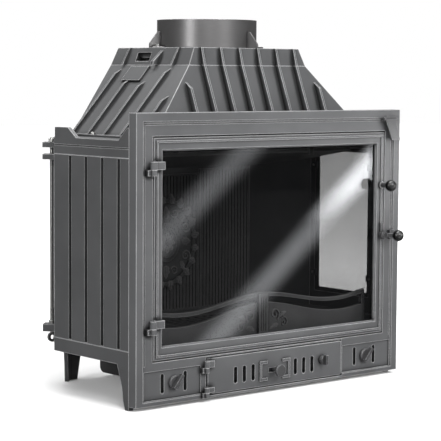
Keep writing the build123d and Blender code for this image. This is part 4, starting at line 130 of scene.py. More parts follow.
class Board:
    """The shader nodes of one material, or of the world."""

    def __init__(self, owner: bpy.types.Material | bpy.types.World) -> None:
        """Empties the owner's nodes and adds its output.

        Args:
            owner: The material or world.
        """
        owner.use_nodes = True
        self.owner = owner
        self.tree = owner.node_tree
        self.tree.nodes.clear()
        kind = "World" if isinstance(owner, bpy.types.World) else "Material"
        self.output = self.tree.nodes.new(f"ShaderNodeOutput{kind}")

    @classmethod
    def named(cls, name: str) -> "Board":
        """The board of a new material."""
        return cls(bpy.data.materials.new(name))

    def node(
        self, kind: str, settings: dict[str, Any] | None = None, inputs: dict[Any, Any] | None = None,
        output: Any = 0,
    ) -> Socket:
        """Adds any node.

        Args:
            kind: Blender's type name of the node.
            settings: Properties set first.
            inputs: Values or sockets by input name or number.
            output: Name or number of the output that is returned.

        Returns:
            The chosen output.
        """
        made = self.tree.nodes.new(kind)
        for key, value in (settings or {}).items():
            setattr(made, key, value)
        for key, value in (inputs or {}).items():
            self.feed(made.inputs[key], value)
        return Socket(self, made.outputs[output])

    def feed(self, target: bpy.types.NodeSocket, value: Any) -> None:
        """Links or sets one input.

        Args:
            target: The input socket.
            value: A Socket, a number, or a colour or vector.
        """
        if isinstance(value, Socket):
            self.tree.links.new(value.link, target)
        elif isinstance(value, (tuple, list)) and len(value) == 3 and target.type == "RGBA":
            target.default_value = (*value, 1.0)
        else:
            target.default_value = value

    def place(self) -> Socket:
        """The point on the surface, in metres, fixed to its piece."""
        return self.node("ShaderNodeTexCoord", output="Object")

    def height(self) -> Socket:
        """The height of the point on the surface, in metres."""
        return self.node("ShaderNodeSeparateXYZ", None, {"Vector": self.place()}, "Z")

    def dot(self, first: Any, second: Any) -> Socket:
        """The dot product of two vectors."""
        return self.node("ShaderNodeVectorMath", {"operation": "DOT_PRODUCT"}, {0: first, 1: second}, "Value")

    def noise(
        self, scale: float, detail: float = 2.0, rough: float = 0.5, stretch: Point | None = None,
    ) -> Socket:
        """Smooth noise between 0 and 1.

        Args:
            scale: Bumps to the metre.
            detail: Octaves.
            rough: Share of the finer octaves.
            stretch: Scale along each axis before the noise.

        Returns:
            The noise value.
        """
        where = self.place()
        if stretch:
            where = self.node("ShaderNodeVectorMath", {"operation": "MULTIPLY"}, {0: where, 1: stretch})
        inputs = {"Vector": where, "Scale": scale, "Detail": detail, "Roughness": rough}
        return self.node("ShaderNodeTexNoise", None, inputs)

    def blend(self, share: Any, low: Any, high: Any) -> Socket:
        """Two colours mixed, with a share of the second."""
        return self.node("ShaderNodeMix", {"data_type": "RGBA"}, {"Factor": share, 6: low, 7: high}, 2)

    def hollow(self, reach: float, samples: int = 8) -> Socket:
        """How deep a point lies between walls within reach: 0 in the open, 0.5 in a square corner."""
        settings = {"samples": samples, "only_local": True}
        return 1.0 - self.node("ShaderNodeAmbientOcclusion", settings, {"Distance": reach}, "AO")

    def rounded_edges(self, radius: float, samples: int = 6, contrast: float = 9.0) -> tuple[Socket, Socket]:
        """Finds the edges of the piece.

        Args:
            radius: How far from an edge the rounding reaches, in metres.
            samples: Rays for the rounding.
            contrast: How fast the mask fills as the rounded normal leaves the flat one.

        Returns:
            The rounded normal, and a mask that is near 1 on edges.
        """
        rounded = self.node("ShaderNodeBevel", {"samples": samples}, {"Radius": radius})
        flat = self.node("ShaderNodeNewGeometry", output="True Normal")
        return rounded, ((1.0 - self.dot(rounded, flat)) * contrast).clamped()

    def bump(self, height: Any, depth: float, strength: float = 1.0, normal: Socket | None = None) -> Socket:
        """Turns a height into a normal.

        Args:
            height: Height between 0 and 1.
            depth: Metres that a height of 1 stands for.
            strength: Share of the effect.
            normal: Normal that the bumps stand on.

        Returns:
            The bumped normal.
        """
        inputs = {"Height": height, "Distance": depth, "Strength": strength}
        if normal is not None:
            inputs["Normal"] = normal
        return self.node("ShaderNodeBump", None, inputs)

    def ray(self, kind: str) -> Socket:
        """1 for rays of one kind, such as "Glossy", else 0."""
        return self.node("ShaderNodeLightPath", output=f"Is {kind} Ray")

    def seen(self) -> Socket:
        """1 for rays from the camera, from gloss and through glass, else 0."""
        return (self.ray("Camera") + self.ray("Glossy") + self.ray("Transmission")).clamped()

    def glow(self, strength: float) -> Socket:
        """A shader that shines white."""
        return self.node("ShaderNodeEmission", None, {"Color": WHITE, "Strength": strength})

    def clear(self) -> Socket:
        """A shader that can't be seen."""
        return self.node("ShaderNodeBsdfTransparent", None, {"Color": WHITE})

    def both(self, first: Socket, second: Socket) -> Socket:
        """The sum of two shaders."""
        return self.node("ShaderNodeAddShader", None, {0: first, 1: second})

    def either(self, share: Socket, low: Socket, high: Socket) -> Socket:
        """Two shaders mixed, with a share of the second."""
        return self.node("ShaderNodeMixShader", None, {"Fac": share, 1: low, 2: high})

    def surface(self, shader: Socket) -> bpy.types.Material | bpy.types.World:
        """Shows a shader, and gives back the finished material or world."""
        self.feed(self.output.inputs["Surface"], shader)
        return self.owner

    def finish(self, **inputs: Any) -> bpy.types.Material:
        """The finished material, from the main shader's inputs with underscores for spaces."""
        named = {key.replace("_", " "): value for key, value in inputs.items()}
        return self.surface(self.node("ShaderNodeBsdfPrincipled", None, named))


def scaled(colour: Colour, share: float) -> Colour:
    """A colour made lighter or darker, with no channel over 1."""
    return tuple(min(1.0, tone * share) for tone in colour)


@dataclass(frozen=True)
class Coat:
    """A finish of the insert.

    Attributes:
        name: Name of the material.
        colour: Its even tone.
    """

    name: str
    colour: Colour

    def material(self) -> bpy.types.Material:
        """Builds the material, which each kind of finish does in its own way."""
        raise NotImplementedError


@dataclass(frozen=True)
class CastIron(Coat):
    """Sand-cast iron in stove paint: mottled paint, casting grain, painted shade in grooves, and lighter
    edges of rubbed paint with a painted highlight.

    Attributes:
        worn_and_highlight: Tone of the lighter edges, rubbed paint with a painted highlight.
        roughness: Roughness of open faces.
        metal: Metallic share.
        gloss: Specular level.
        relief: Height of the grain, in metres.
        edge: How far from an edge the lighter rim of rubbed paint and painted highlight reaches, in metres.
        groove: How far apart the walls of a groove with painted shade may stand, in metres.
        soot_and_shade: How fast the painted shade in a hollow deepens with its depth.
        sooty_and_shaded: Share of the colour left deepest in a groove, under the painted shade.
        tones: Shares of the colour in the darkest and the lightest paint.
        grain_scale, pit_scale: Grains of the moulding sand and pits to the metre.
        swell_scale, mottle_scale: Shallow swellings and clouds in the paint to the metre.
    """

    worn_and_highlight: Colour
    roughness: float = 0.5
    metal: float = 0.1
    gloss: float = 0.35
    relief: float = 0.00007
    edge: float = 0.0026
    groove: float = 0.011
    soot_and_shade: float = 3.4
    sooty_and_shaded: float = 0.16
    tones: Spot = (0.78, 1.3)
    grain_scale: float = 1500.0
    pit_scale: float = 450.0
    swell_scale: float = 32.0
    mottle_scale: float = 8.0

    def material(self) -> bpy.types.Material:
        """Builds the material."""
        board = Board.named(self.name)
        rounded, edges = board.rounded_edges(self.edge)
        # Mask of grooves and inner corners, for the painted shade below.
        hollow = board.hollow(self.groove)
        grain = board.noise(self.grain_scale, rough=0.6)
        pits = board.noise(self.pit_scale, detail=1.0)
        swell = board.noise(self.swell_scale)
        mottle = board.noise(self.mottle_scale, detail=3.0, rough=0.6)
        dark, light = (scaled(self.colour, share) for share in self.tones)
        paint = board.blend((mottle * 1.3 + grain * 0.4 - 0.35).clamped(), dark, light)
        # Painted shade: the paint darkens in grooves and inner corners, where shade falls.
        shaded = board.blend((hollow * self.soot_and_shade).clamped(), paint, scaled(self.colour, self.sooty_and_shaded))
        # Lighter edges: rubbed paint with a painted highlight, weaker inside grooves.
        rubbed_and_highlight = (edges * (0.65 + swell * 0.6) * (1.3 - hollow * 5.0).clamped()).clamped()
        roughness = (self.roughness - 0.1 + grain * 0.12 + mottle * 0.1 - rubbed_and_highlight * 0.14).clamped()
        return board.finish(
            Base_Color=board.blend(rubbed_and_highlight, shaded, self.worn_and_highlight), Roughness=roughness, Metallic=self.metal,
            Specular_IOR_Level=self.gloss,
            Normal=board.bump(grain * 0.5 + pits * 0.4 + swell * 1.6, self.relief, normal=rounded))


@dataclass(frozen=True)
class SheetSteel(Coat):
    """Rolled, folded or turned steel, painted or bare: fine streaks over an uneven tone, painted shade in
    grooves, and lighter edges of rubbed finish with a painted highlight.

    Attributes:
        roughness: Roughness of open faces.
        metal: Metallic share.
        streaks: Scale of the streaks along each axis; they run where it is small.
        rubbed_and_highlight: How many times lighter the edges are, as rubbed finish with a painted highlight.
        relief: Height of the streaks, in metres.
        edge: How far from an edge the lighter rim reaches, in metres.
        groove: How far apart the walls of a groove with painted shade may stand, in metres.
        sooty_and_shaded: Share of the colour left deepest in a groove, under the painted shade.
        tones: Shares of the colour in the darkest and the lightest streaks.
        streak_scale, cloud_scale: Streaks and clouds to the metre.
    """

    roughness: float
    metal: float
    streaks: Point
    rubbed_and_highlight: float = 2.2
    relief: float = 0.00002
    edge: float = 0.0009
    groove: float = 0.006
    sooty_and_shaded: float = 0.25
    tones: Spot = (0.85, 1.2)
    streak_scale: float = 60.0
    cloud_scale: float = 14.0

    def material(self) -> bpy.types.Material:
        """Builds the material."""
        board = Board.named(self.name)
        rounded, edges = board.rounded_edges(self.edge, samples=4)
        hollow = board.hollow(self.groove, samples=6)
        streak = board.noise(self.streak_scale, detail=3.0, rough=0.7, stretch=self.streaks)
        cloud = board.noise(self.cloud_scale)
        dark, light = (scaled(self.colour, share) for share in self.tones)
        tone = board.blend((streak * 0.7 + cloud * 0.6 - 0.15).clamped(), dark, light)
        # Painted shade: the tone darkens in grooves and inner corners, where shade falls.
        shaded = board.blend((hollow * 1.4).clamped(), tone, scaled(self.colour, self.sooty_and_shaded))
        # Lighter edges: rubbed finish with a painted highlight, weaker inside grooves.
        bright = (edges * (0.9 - hollow * 3.0)).clamped()
        roughness = (self.roughness - 0.06 + streak * 0.08 + cloud * 0.06 - edges * 0.05).clamped()
        return board.finish(
            Base_Color=board.blend(bright, shaded, scaled(self.colour, self.rubbed_and_highlight)), Roughness=roughness,
            Metallic=self.metal, Normal=board.bump(streak, self.relief, 0.6, rounded))


@dataclass(frozen=True)
class Resin(Coat):
    """Pressed heat-proof resin of the knobs, glossy with faint handling marks.

    Attributes:
        hazy: How many times lighter the haze is.
        haze_scale, mark_scale: Clouds of haze and handling marks to the metre.
        relief: Height of the marks, in metres.
    """

    hazy: float = 1.6
    haze_scale: float = 120.0
    mark_scale: float = 900.0
    relief: float = 0.000005

    def material(self) -> bpy.types.Material:
        """Builds the material."""
        board = Board.named(self.name)
        haze = board.noise(self.haze_scale, detail=3.0, rough=0.6)
        marks = board.noise(self.mark_scale)
        return board.finish(
            Base_Color=board.blend(haze, self.colour, scaled(self.colour, self.hazy)),
            Roughness=0.1 + haze * 0.08, Normal=board.bump(marks, self.relief, 0.5), Coat_Weight=0.3)


@dataclass(frozen=True)
class HeatGlass(Coat):
    """Glass ceramic with a faint grey tint and smears: it mirrors a little and shows what is behind it.

    Attributes:
        density: How much it covers, seen straight on.
        smear_scale: Smears to the metre.
    """

    density: float = 0.36
    smear_scale: float = 7.0

    def material(self) -> bpy.types.Material:
        """Builds the material."""
        board = Board.named(self.name)
        smear = board.noise(self.smear_scale, detail=3.0, rough=0.6)
        slant = board.node("ShaderNodeLayerWeight", None, {"Blend": 0.5}, "Facing")
        cover = (self.density - 0.02 + smear * 0.04 + slant ** 5.0).clamped()
        return board.finish(Base_Color=self.colour, Roughness=0.015 + smear * 0.03, Metallic=1.0, Alpha=cover)


@dataclass(frozen=True)
class Rope(Coat):
    """Braided glass-fibre seal: matt yarn with a fine fuzz, and painted shade in the gaps between strands.

    Attributes:
        clean: How many times lighter the clean yarn is.
        gap: How far apart the strands of a dark gap may stand, in metres.
        gap_shade_tone: Share of the colour left in a gap.
        fuzz_scale, soot_scale: Fibres and clouds of soot to the metre.
        relief: Height of the fuzz, in metres.
    """

    clean: float = 2.2
    # gap: How far apart the strands may stand for the gap between them to get painted shade, in metres.
    gap: float = 0.002
    # gap_shade_tone: Share of the colour left in a gap, under the painted shade.
    gap_shade_tone: float = 0.3
    fuzz_scale: float = 2200.0
    soot_scale: float = 30.0
    relief: float = 0.0003

    def material(self) -> bpy.types.Material:
        """Builds the material."""
        board = Board.named(self.name)
        fuzz = board.noise(self.fuzz_scale, detail=3.0, rough=0.7)
        soot_and_shade = board.noise(self.soot_scale, detail=3.0)
        # Painted shade: the yarn darkens in the gaps between strands, where shade falls.
        gap_shade = (board.hollow(self.gap, samples=6) * 1.5).clamped()
        sooty_and_shaded = (fuzz * 0.6 + soot_and_shade * 0.6 - 0.1).clamped()
        yarn = board.blend(sooty_and_shaded, self.colour, scaled(self.colour, self.clean))
        return board.finish(
            Base_Color=board.blend(gap_shade, yarn, scaled(self.colour, self.gap_shade_tone)), Roughness=0.92,
            Normal=board.bump(fuzz, self.relief, 0.8), Sheen_Weight=0.2)


def stage_sheet(name: str, quads: Sequence[Sequence[Point]], material: bpy.types.Material) -> None:
    """Adds flat sheets of the studio as one object that isn't part of the insert.

    Args:
        name: Name of the object.
        quads: The four corners of each sheet, in order.
        material: What the sheets are made of.
    """
    corners = [corner for quad in quads for corner in quad]
    faces = [tuple(range(first, first + 4)) for first in range(0, len(corners), 4)]
    mesh = bpy.data.meshes.new(name)
    mesh.from_pydata(corners, [], faces)
    mesh.materials.append(material)
    sheet = bpy.data.objects.new(name, mesh)
    bpy.context.scene.collection.objects.link(sheet)
    LOG.info("staged %s", name)


@dataclass(frozen=True)
class Viewpoint:
    """The camera, where the photograph was taken from.

    Attributes:
        eye: Its place, in metres.
        yaw, pitch, roll: How far it is turned from straight at the front, looks down and leans, in degrees.
        focal, sensor: Focal length and width of the film, in millimetres.
        reach: Farthest thing that it sees, in metres.
    """

    eye: Point = (-2.27909, -2.65856, 0.63376)
    yaw: float = 40.52
    pitch: float = 4.92
    roll: float = 0.38
    focal: float = 139.55
    sensor: float = 36.0
    reach: float = 60.0

    def build(self) -> None:
        """Sets up the camera."""
        yaw, pitch, roll = (math.radians(angle) for angle in (self.yaw, self.pitch, self.roll))
        ahead = Vector((math.sin(yaw) * math.cos(pitch), math.cos(yaw) * math.cos(pitch), -math.sin(pitch)))
        level = Vector((math.cos(yaw), -math.sin(yaw), 0.0))
        upright = level.cross(ahead)
        right = level * math.cos(roll) + upright * math.sin(roll)
        above = upright * math.cos(roll) - level * math.sin(roll)
        data = bpy.data.cameras.new("camera")
        data.lens = self.focal
        data.sensor_width = self.sensor
        data.clip_end = self.reach
        camera = bpy.data.objects.new("camera", data)
        turn = Matrix((right, above, -ahead)).transposed().to_4x4()
        camera.matrix_world = Matrix.Translation(self.eye) @ turn
        bpy.context.scene.collection.objects.link(camera)
        bpy.context.scene.camera = camera


@dataclass(frozen=True)
class Floor:
    """Large pale floor that keeps the insert's shadow and fades into the white behind.

    Attributes:
        half: Half its length, in metres.
        paper: Colour of the paper on it.
        glow: Light of its own near the insert.
        near, far: How far from the middle it starts to fade and is white, in metres.
        mirrored: How light it shows in gloss.
    """

    half: float = 14.0
    paper: Colour = (0.8, 0.8, 0.8)
    glow: float = 0.1
    near: float = 0.7
    far: float = 2.2
    mirrored: float = 0.24

    def build(self) -> None:
        """Lays the floor."""
        board = Board.named("floor_paper")
        paper = board.node("ShaderNodeBsdfDiffuse", None, {"Color": self.paper, "Roughness": 1.0})
        away = board.node("ShaderNodeVectorMath", {"operation": "LENGTH"}, {0: board.place()}, "Value")
        lift = self.glow + away.between(self.near, self.far) * (1.0 - self.glow)
        shown = board.either(board.seen() * lift, paper, board.both(paper, board.glow(1.0)))
        material = board.surface(board.either(board.ray("Glossy"), shown, board.glow(self.mirrored)))
        half = self.half
        corners = [(-half, -half, 0.0), (half, -half, 0.0), (half, half, 0.0), (-half, half, 0.0)]
        stage_sheet("floor", [corners], material)


@dataclass(frozen=True)
class Band:
    """One slanting band of light on the glare card.

    Attributes:
        centre: How far it lies above the slanting line through the middle of the floor, in metres.
        foot: Its strength below the climb.
        head: Its strength above the climb.
    """

    centre: float
    foot: float
    head: float


@dataclass(frozen=True)
class GlareCard:
    """A card with soft slanting bands that stands where the door's glass mirrors it; only gloss sees it.

    Attributes:
        middle, ahead: Its place across and along the depth, in metres.
        half: Half its width.
        low, high: Heights of its foot and top.
        tilt: Slant of the bands in degrees.
        half_band: Half the width of a band.
        climb: Heights between which a band changes its strength.
        bands: The bands.
    """

    middle: float = 0.32
    ahead: float = -0.5
    half: float = 0.42
    low: float = 0.01
    high: float = 0.56
    tilt: float = 38.0
    half_band: float = 0.056
    climb: Spot = (0.29, 0.37)
    bands: tuple[Band, ...] = (Band(-0.057, 6.0, 28.0), Band(0.219, 3.8, 3.8))

    def build(self) -> None:
        """Stands up the card."""
        board = Board.named("glare_bands")
        tilt = math.radians(self.tilt)
        above = board.dot(board.place(), (-math.sin(tilt), 0.0, math.cos(tilt)))
        climbed = board.height().between(*self.climb)
        brightest = max(max(band.foot, band.head) for band in self.bands)
        share = 0.0
        for band in self.bands:
            gap = (above - band.centre) / self.half_band
            soft = (1.0 - gap * gap).clamped() ** 3.0
            share = share + soft * (band.foot + climbed * (band.head - band.foot)) / brightest
        lit = board.both(board.clear(), board.glow(brightest))
        material = board.surface(board.either(board.ray("Glossy") * share, board.clear(), lit))
        left, right, y = self.middle - self.half, self.middle + self.half, self.ahead
        corners = [(left, y, self.low), (right, y, self.low), (right, y, self.high), (left, y, self.high)]
        stage_sheet("glare_card", [corners], material)


@dataclass(frozen=True)
class DarkCloth:
    """Dark cloth round the set, so that the iron doesn't look washed out; only gloss sees it.

    Attributes:
        away: Radius of the ring in metres.
        height: Height of the cloth in metres.
        fade: Height at the top over which it thins out.
        tone: How light it shows.
        lengths: Straight lengths of cloth in the ring.
    """

    away: float = 6.0
    height: float = 6.0
    fade: float = 3.0
    tone: float = 0.12
    lengths: int = 32

    def build(self) -> None:
        """Hangs the cloth."""
        board = Board.named("dark_cloth")
        share = board.ray("Glossy") * board.height().between(self.height, self.height - self.fade)
        material = board.surface(board.either(share, board.clear(), board.glow(self.tone)))
        turns = [2 * math.pi * index / self.lengths for index in range(self.lengths + 1)]
        feet = [(math.sin(turn) * self.away, math.cos(turn) * self.away) for turn in turns]
        quads = [
            [(*first, 0.0), (*last, 0.0), (*last, self.height), (*first, self.height)]
            for first, last in zip(feet, feet[1:])]
        stage_sheet("dark_cloth", quads, material)


@dataclass(frozen=True)
class SoftBox:
    """One rectangular area lamp.

    Attributes:
        name: Its name.
        place: Where it hangs, in metres.
        aim: The point that it faces.
        size: Its width and height in metres.
        power: Its power in watts.
        mirrored: Whether glossy faces show it.
    """

    name: str
    place: Point
    aim: Point
    size: Spot
    power: float
    mirrored: bool = True

    def build(self) -> None:
        """Hangs the lamp."""
        data = bpy.data.lights.new(self.name, "AREA")
        data.shape = "RECTANGLE"
        data.size, data.size_y = self.size
        data.energy = self.power
        lamp = bpy.data.objects.new(self.name, data)
        lamp.location = self.place
        lamp.rotation_euler = (Vector(self.aim) - Vector(self.place)).to_track_quat("-Z", "Y").to_euler()
        lamp.visible_glossy = self.mirrored
        bpy.context.scene.collection.objects.link(lamp)
        LOG.info("hung the %s lamp", self.name)


@dataclass(frozen=True)
class Room:
    """The room behind the set: even light for the object, white where nothing stands.

    Attributes:
        light: Strength of the even light.
    """

    light: float = 0.2

    def build(self) -> None:
        """Sets up the world and plain colours."""
        board = Board(bpy.data.worlds.new("studio"))
        soft, white = (
            board.node("ShaderNodeBackground", None, {"Color": WHITE, "Strength": strength})
            for strength in (self.light, 1.0))
        bpy.context.scene.world = board.surface(board.either(board.seen(), soft, white))
        bpy.context.scene.view_settings.view_transform = "Standard"


STUDIO = (
    Viewpoint(),
    Floor(),
    GlareCard(),
    DarkCloth(),
    Room(),
    SoftBox("key", (-1.15, -1.5, 1.5), (-0.2, -0.1, 0.3), (0.7, 0.7), 12.0),
    SoftBox("fill", (0.2, -3.2, 2.2), (0.0, 0.0, 0.3), (1.3, 1.0), 84.0),
    SoftBox("front", (2.3, -2.7, 0.75), (0.0, -0.15, 0.3), (1.3, 1.1), 42.0, mirrored=False),
    SoftBox("top", (0.0, 0.2, 2.8), (0.0, 0.0, 0.4), (2.2, 2.2), 130.0),
    SoftBox("left", (-3.0, -0.55, 1.1), (0.0, 0.0, 0.6), (0.3, 1.4), 24.0),
)


class Finish(Enum):
    """The finishes of the real insert, and a lighter copy of the front iron that paints light onto the log
    guard behind the glass.
    """

    SHELL = CastIron("shell_iron", (0.066, 0.067, 0.069), (0.4, 0.4, 0.405))
    FRONT = CastIron(
        "front_iron", (0.086, 0.087, 0.09), (0.52, 0.52, 0.525), roughness=0.42, relief=0.00004, edge=0.0022)
    # Painted light: a lighter copy of the front iron, making up for the dim light that reaches the log guard
    # and its scrolls behind the glass.
    GUARD_LIGHTENED = CastIron(
        "guard_iron_lightened", (0.17, 0.17, 0.173), (0.5, 0.5, 0.5), metal=0.0, relief=0.00001, edge=0.0022)
    LINING = CastIron(
        "lining_iron", (0.085, 0.085, 0.086), (0.26, 0.26, 0.26), roughness=0.75, metal=0.0, gloss=0.1,
        relief=0.00001)
    CARVED = CastIron(
        "carved_iron", (0.13, 0.13, 0.132), (0.4, 0.4, 0.4), roughness=0.6, metal=0.0, gloss=0.2,
        relief=0.00001, groove=0.004)
    COLLAR = SheetSteel("collar_steel", (0.2, 0.197, 0.198), 0.38, 0.9, (1.0, 1.0, 14.0))
    BOX = SheetSteel("box_steel", (0.045, 0.045, 0.047), 0.5, 0.2, (1.0, 14.0, 1.0))
    BARE = SheetSteel("zinc_steel", (0.38, 0.38, 0.37), 0.3, 1.0, (1.0, 1.0, 6.0), rubbed_and_highlight=1.5)
    BLACKENED = SheetSteel("black_steel", (0.06, 0.06, 0.062), 0.36, 0.3, (4.0, 4.0, 4.0), rubbed_and_highlight=7.0)
    KNOB = Resin("knob_resin", (0.003, 0.003, 0.003))
    GLASS = HeatGlass("heat_glass", (0.05, 0.051, 0.053))
    ROPE = Rope("seal_rope", (0.05, 0.05, 0.05))


SLOT_FINISH = {
    "cast_iron": Finish.SHELL,
    "front_cast_iron": Finish.FRONT,
    "lining_iron": Finish.LINING,
    "collar_steel": Finish.COLLAR,
    "box_steel": Finish.BOX,
    "bare_steel": Finish.BARE,
    "blackened_steel": Finish.BLACKENED,
    "black_phenolic": Finish.KNOB,
    "ceramic_glass": Finish.GLASS,
    "rope_seal": Finish.ROPE,
}
# The log guard wears the lighter copy of the front iron, painted light for its dim place behind the glass.
NODE_FINISH = {"log_guard": Finish.GUARD_LIGHTENED}


@dataclass
class Wardrobe:
    """Gives every node of the model and every added piece its finish.

    Attributes:
        made: The materials that are built so far.
    """

    made: dict[Finish, bpy.types.Material] = field(default_factory=dict)

    def material(self, finish: Finish) -> bpy.types.Material:
        """The material of a finish, built once.

        Args:
            finish: The finish.

        Returns:
            Its material.
        """
        if finish not in self.made:
            self.made[finish] = finish.value.material()
        return self.made[finish]

    def dress(self) -> None:
        """Puts its own finish, or else that of its record slot, on each node."""
        for row in frame["record"]["subparts"]:
            finish = NODE_FINISH.get(row["node"], SLOT_FINISH[row["material_slot"]])
            for slot in frame["nodes"][row["node"]].material_slots:
                slot.material = self.material(finish)
            LOG.info("dressed %s in %s", row["node"], finish.name)

    def add(self, piece: bpy.types.Object, slot: str, body: str, finish: Finish | None = None) -> None:
        """Gives an added piece its finish, chosen by its record slot unless one is given, and the body it
        moves with.

        Args:
            piece: The piece.
            slot: Name of the record's material slot.
            body: Name of the body.
            finish: Its finish, where that isn't the slot's.
        """
        piece.data.materials.append(self.material(finish or SLOT_FINISH[slot]))
        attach(piece, body)
        LOG.info("added %s on %s", piece.name, body)


@dataclass
class Clay:
    """Gathers closed forms into one mesh.

    Attributes:
        points: Points so far, in metres.
        faces: Faces so far, as numbers of points.
    """

    points: list[Vector] = field(default_factory=list)
    faces: list[tuple[int, ...]] = field(default_factory=list)

    def loft(self, rings: Sequence[Sequence[Vector]], closed: bool = False) -> None:
        """Skins rings of equal length.

        Args:
            rings: The rings in order, each a loop of points.
            closed: Whether the last ring joins the first; otherwise both ends are capped.
        """
        start, size, count = len(self.points), len(rings[0]), len(rings)
        for ring in rings:
            self.points.extend(ring)
        for row in range(count if closed else count - 1):
            low, high = start + row * size, start + (row + 1) % count * size
            for place in range(size):
                after = (place + 1) % size
                self.faces.append((low + place, low + after, high + after, high + place))
        if not closed:
            self.faces.append(tuple(range(start, start + size)))
            self.faces.append(tuple(range(start + (count - 1) * size, start + count * size)))

    def piece(self, name: str, crease: float = 40.0) -> bpy.types.Object:
        """Makes the mesh.

        Args:
            name: Name of the object.
            crease: Angle in degrees over which an edge stays sharp.

        Returns:
            The object.
        """
        mesh = bpy.data.meshes.new(name)
        mesh.from_pydata([tuple(point) for point in self.points], [], self.faces)
        body = bmesh.new()
        body.from_mesh(mesh)
        bmesh.ops.recalc_face_normals(body, faces=body.faces)
        body.to_mesh(mesh)
        body.free()
        mesh.shade_smooth()
        mesh.set_sharp_from_angle(angle=math.radians(crease))
        made = bpy.data.objects.new(name, mesh)
        bpy.context.scene.collection.objects.link(made)
        return made


@dataclass(frozen=True)
class Seal:
    """A soft strip that runs round an opening in place of its plain solid, in metres.

    Attributes:
        name: Name of the piece.
        node: The solid that it stands for.
        body: The body that it moves with.
        across: The axis along the opening's width, 0 for X and 1 for Y.
        half: Half the strip's width.
        corner: Radius of its path at the corners.
        step: Distance between its sections.
        crease: Angle in degrees over which an edge stays sharp.
    """

    name: str
    node: str
    body: str
    across: int
    half: float
    corner: float
    step: float
    crease: float

    def build(self, wardrobe: Wardrobe) -> None:
        """Sweeps the strip round the opening.

        Args:
            wardrobe: Gives the strip its finish.
        """
        low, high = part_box(self.node)
        middle, reach = (low + high) / 2, (high - low) / 2
        thick = reach[1 - self.across]
        path = self._path(reach[self.across] - self.half, reach.z - self.half)
        rings = []
        for index, (along, up, angle) in enumerate(path):
            ring = []
            for out, depth in self.section(index, len(path)):
                point = Vector((0.0, 0.0, up + out * self.half * math.sin(angle)))
                point[self.across] = along + out * self.half * math.cos(angle)
                point[1 - self.across] = depth * thick
                ring.append(middle + point)
            rings.append(ring)
        clay = Clay()
        clay.loft(rings, closed=True)
        strip = clay.piece(self.name, self.crease)
        wardrobe.add(strip, "rope_seal", self.body)
        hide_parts(self.node)

    def section(self, index: int, count: int) -> list[Spot]:
        """One section across the strip, which each kind of strip has for itself."""
        raise NotImplementedError

    def _path(self, wide: float, high: float) -> list[Point]:
        """Walks round a rectangle with rounded corners.

        Args:
            wide: Half its width.
            high: Half its height.

        Returns:
            Along, up and the outward direction's angle for each section.
        """
        track = []
        wide, high = wide - self.corner, high - self.corner
        corner_steps = max(3, math.ceil(self.corner * math.pi / 2 / self.step))
        for side, (x, z, half) in enumerate((
            (wide, -high, high), (wide, high, wide), (-wide, high, high), (-wide, -high, wide),
        )):
            facing = side * math.pi / 2
            steps = math.ceil(2 * half / self.step)
            bends = [math.pi / 2 * (index / corner_steps - 1) for index in range(corner_steps)]
            stops = [(facing + bend, 0.0) for bend in bends]
            stops += [(facing, 2 * half * index / steps) for index in range(steps)]
            for turn, gone in stops:
                track.append((
                    x + self.corner * math.cos(turn) - gone * math.sin(facing),
                    z + self.corner * math.sin(turn) + gone * math.cos(facing), turn))
        return track


@dataclass(frozen=True)
class DoorSeal(Seal):
    """The braided rope pressed into the groove behind the door frame.

    Attributes:
        pitch: Length of one turn of the braid, in metres.
        sides: Points round the rope.
        strands: Pairs of strands that cross.
        depth: How deep the rope narrows between strands, as a share.
    """

    pitch: float = 0.0062
    sides: int = 12
    strands: int = 2
    depth: float = 0.2

    def section(self, index: int, count: int) -> list[Spot]:
        """The rope's outline, narrower between the crossing strands.

        Args:
            index: Number of the section.
            count: Sections round the opening.

        Returns:
            Places outwards and in depth, as shares of half the width and half the thickness.
        """
        phase = 2 * math.pi * round(count * self.step / self.pitch) * index / count
        outline = []
        for side in range(self.sides):
            around = 2 * math.pi * side / self.sides
            braid = max(math.cos(phase + self.strands * around), math.cos(phase - self.strands * around))
            size = 1.0 - self.depth * (1.0 - braid) / 2
            outline.append((size * math.cos(around), size * math.sin(around)))
        return outline


@dataclass(frozen=True)
class WindowTape(Seal):
    """The woven tape between the side glass and its frame.

    Attributes:
        threads: Threads on each side of the tape's middle line.
        weave: How far every other thread lies lower, as a share.
        selvage: Thickness of the edge, as a share.
    """

    threads: int = 4
    weave: float = 0.08
    selvage: float = 0.55

    def section(self, index: int, count: int) -> list[Spot]:
        """The tape's outline, lower at its edges and at every other thread.

        Args:
            index: Number of the section.
            count: Sections round the opening; not used here.

        Returns:
            Places outwards and in depth, as shares of half the width and half the thickness.
        """
        outline = []
        for face in (1, -1):
            for place in range(2 * self.threads + 1):
                share = face * (place / self.threads - 1.0)
                lift = self.selvage if abs(share) == 1.0 else 1.0 - self.weave * ((index + place) % 2)
                outline.append((share, face * lift))
        return outline


@dataclass(frozen=True)
class Leaf:
    """The form of one carved leaf, in millimetres and degrees.

    Attributes:
        length: From its root to its tip.
        width: Its greatest half width.
        rise: Its height over the face.
        lobes: Waves along each edge.
        droop: How far the face falls away under its tip.
        bend: How far its middle line turns.
    """

    length: float
    width: float
    rise: float
    lobes: int = 3
    droop: float = 0.0
    bend: float = 0.0


@dataclass(frozen=True)
class Scroll:
    """The form of one rolled-up tendril, in millimetres and degrees.

    Attributes:
        sweep: How far it winds inwards; below 0 is clockwise.
        inner: Radius at the eye.
        outer: Radius at the outer end.
        width: Width at the outer end.
        rise: Its height over the face.
    """

    sweep: float
    inner: float
    outer: float
    width: float
    rise: float


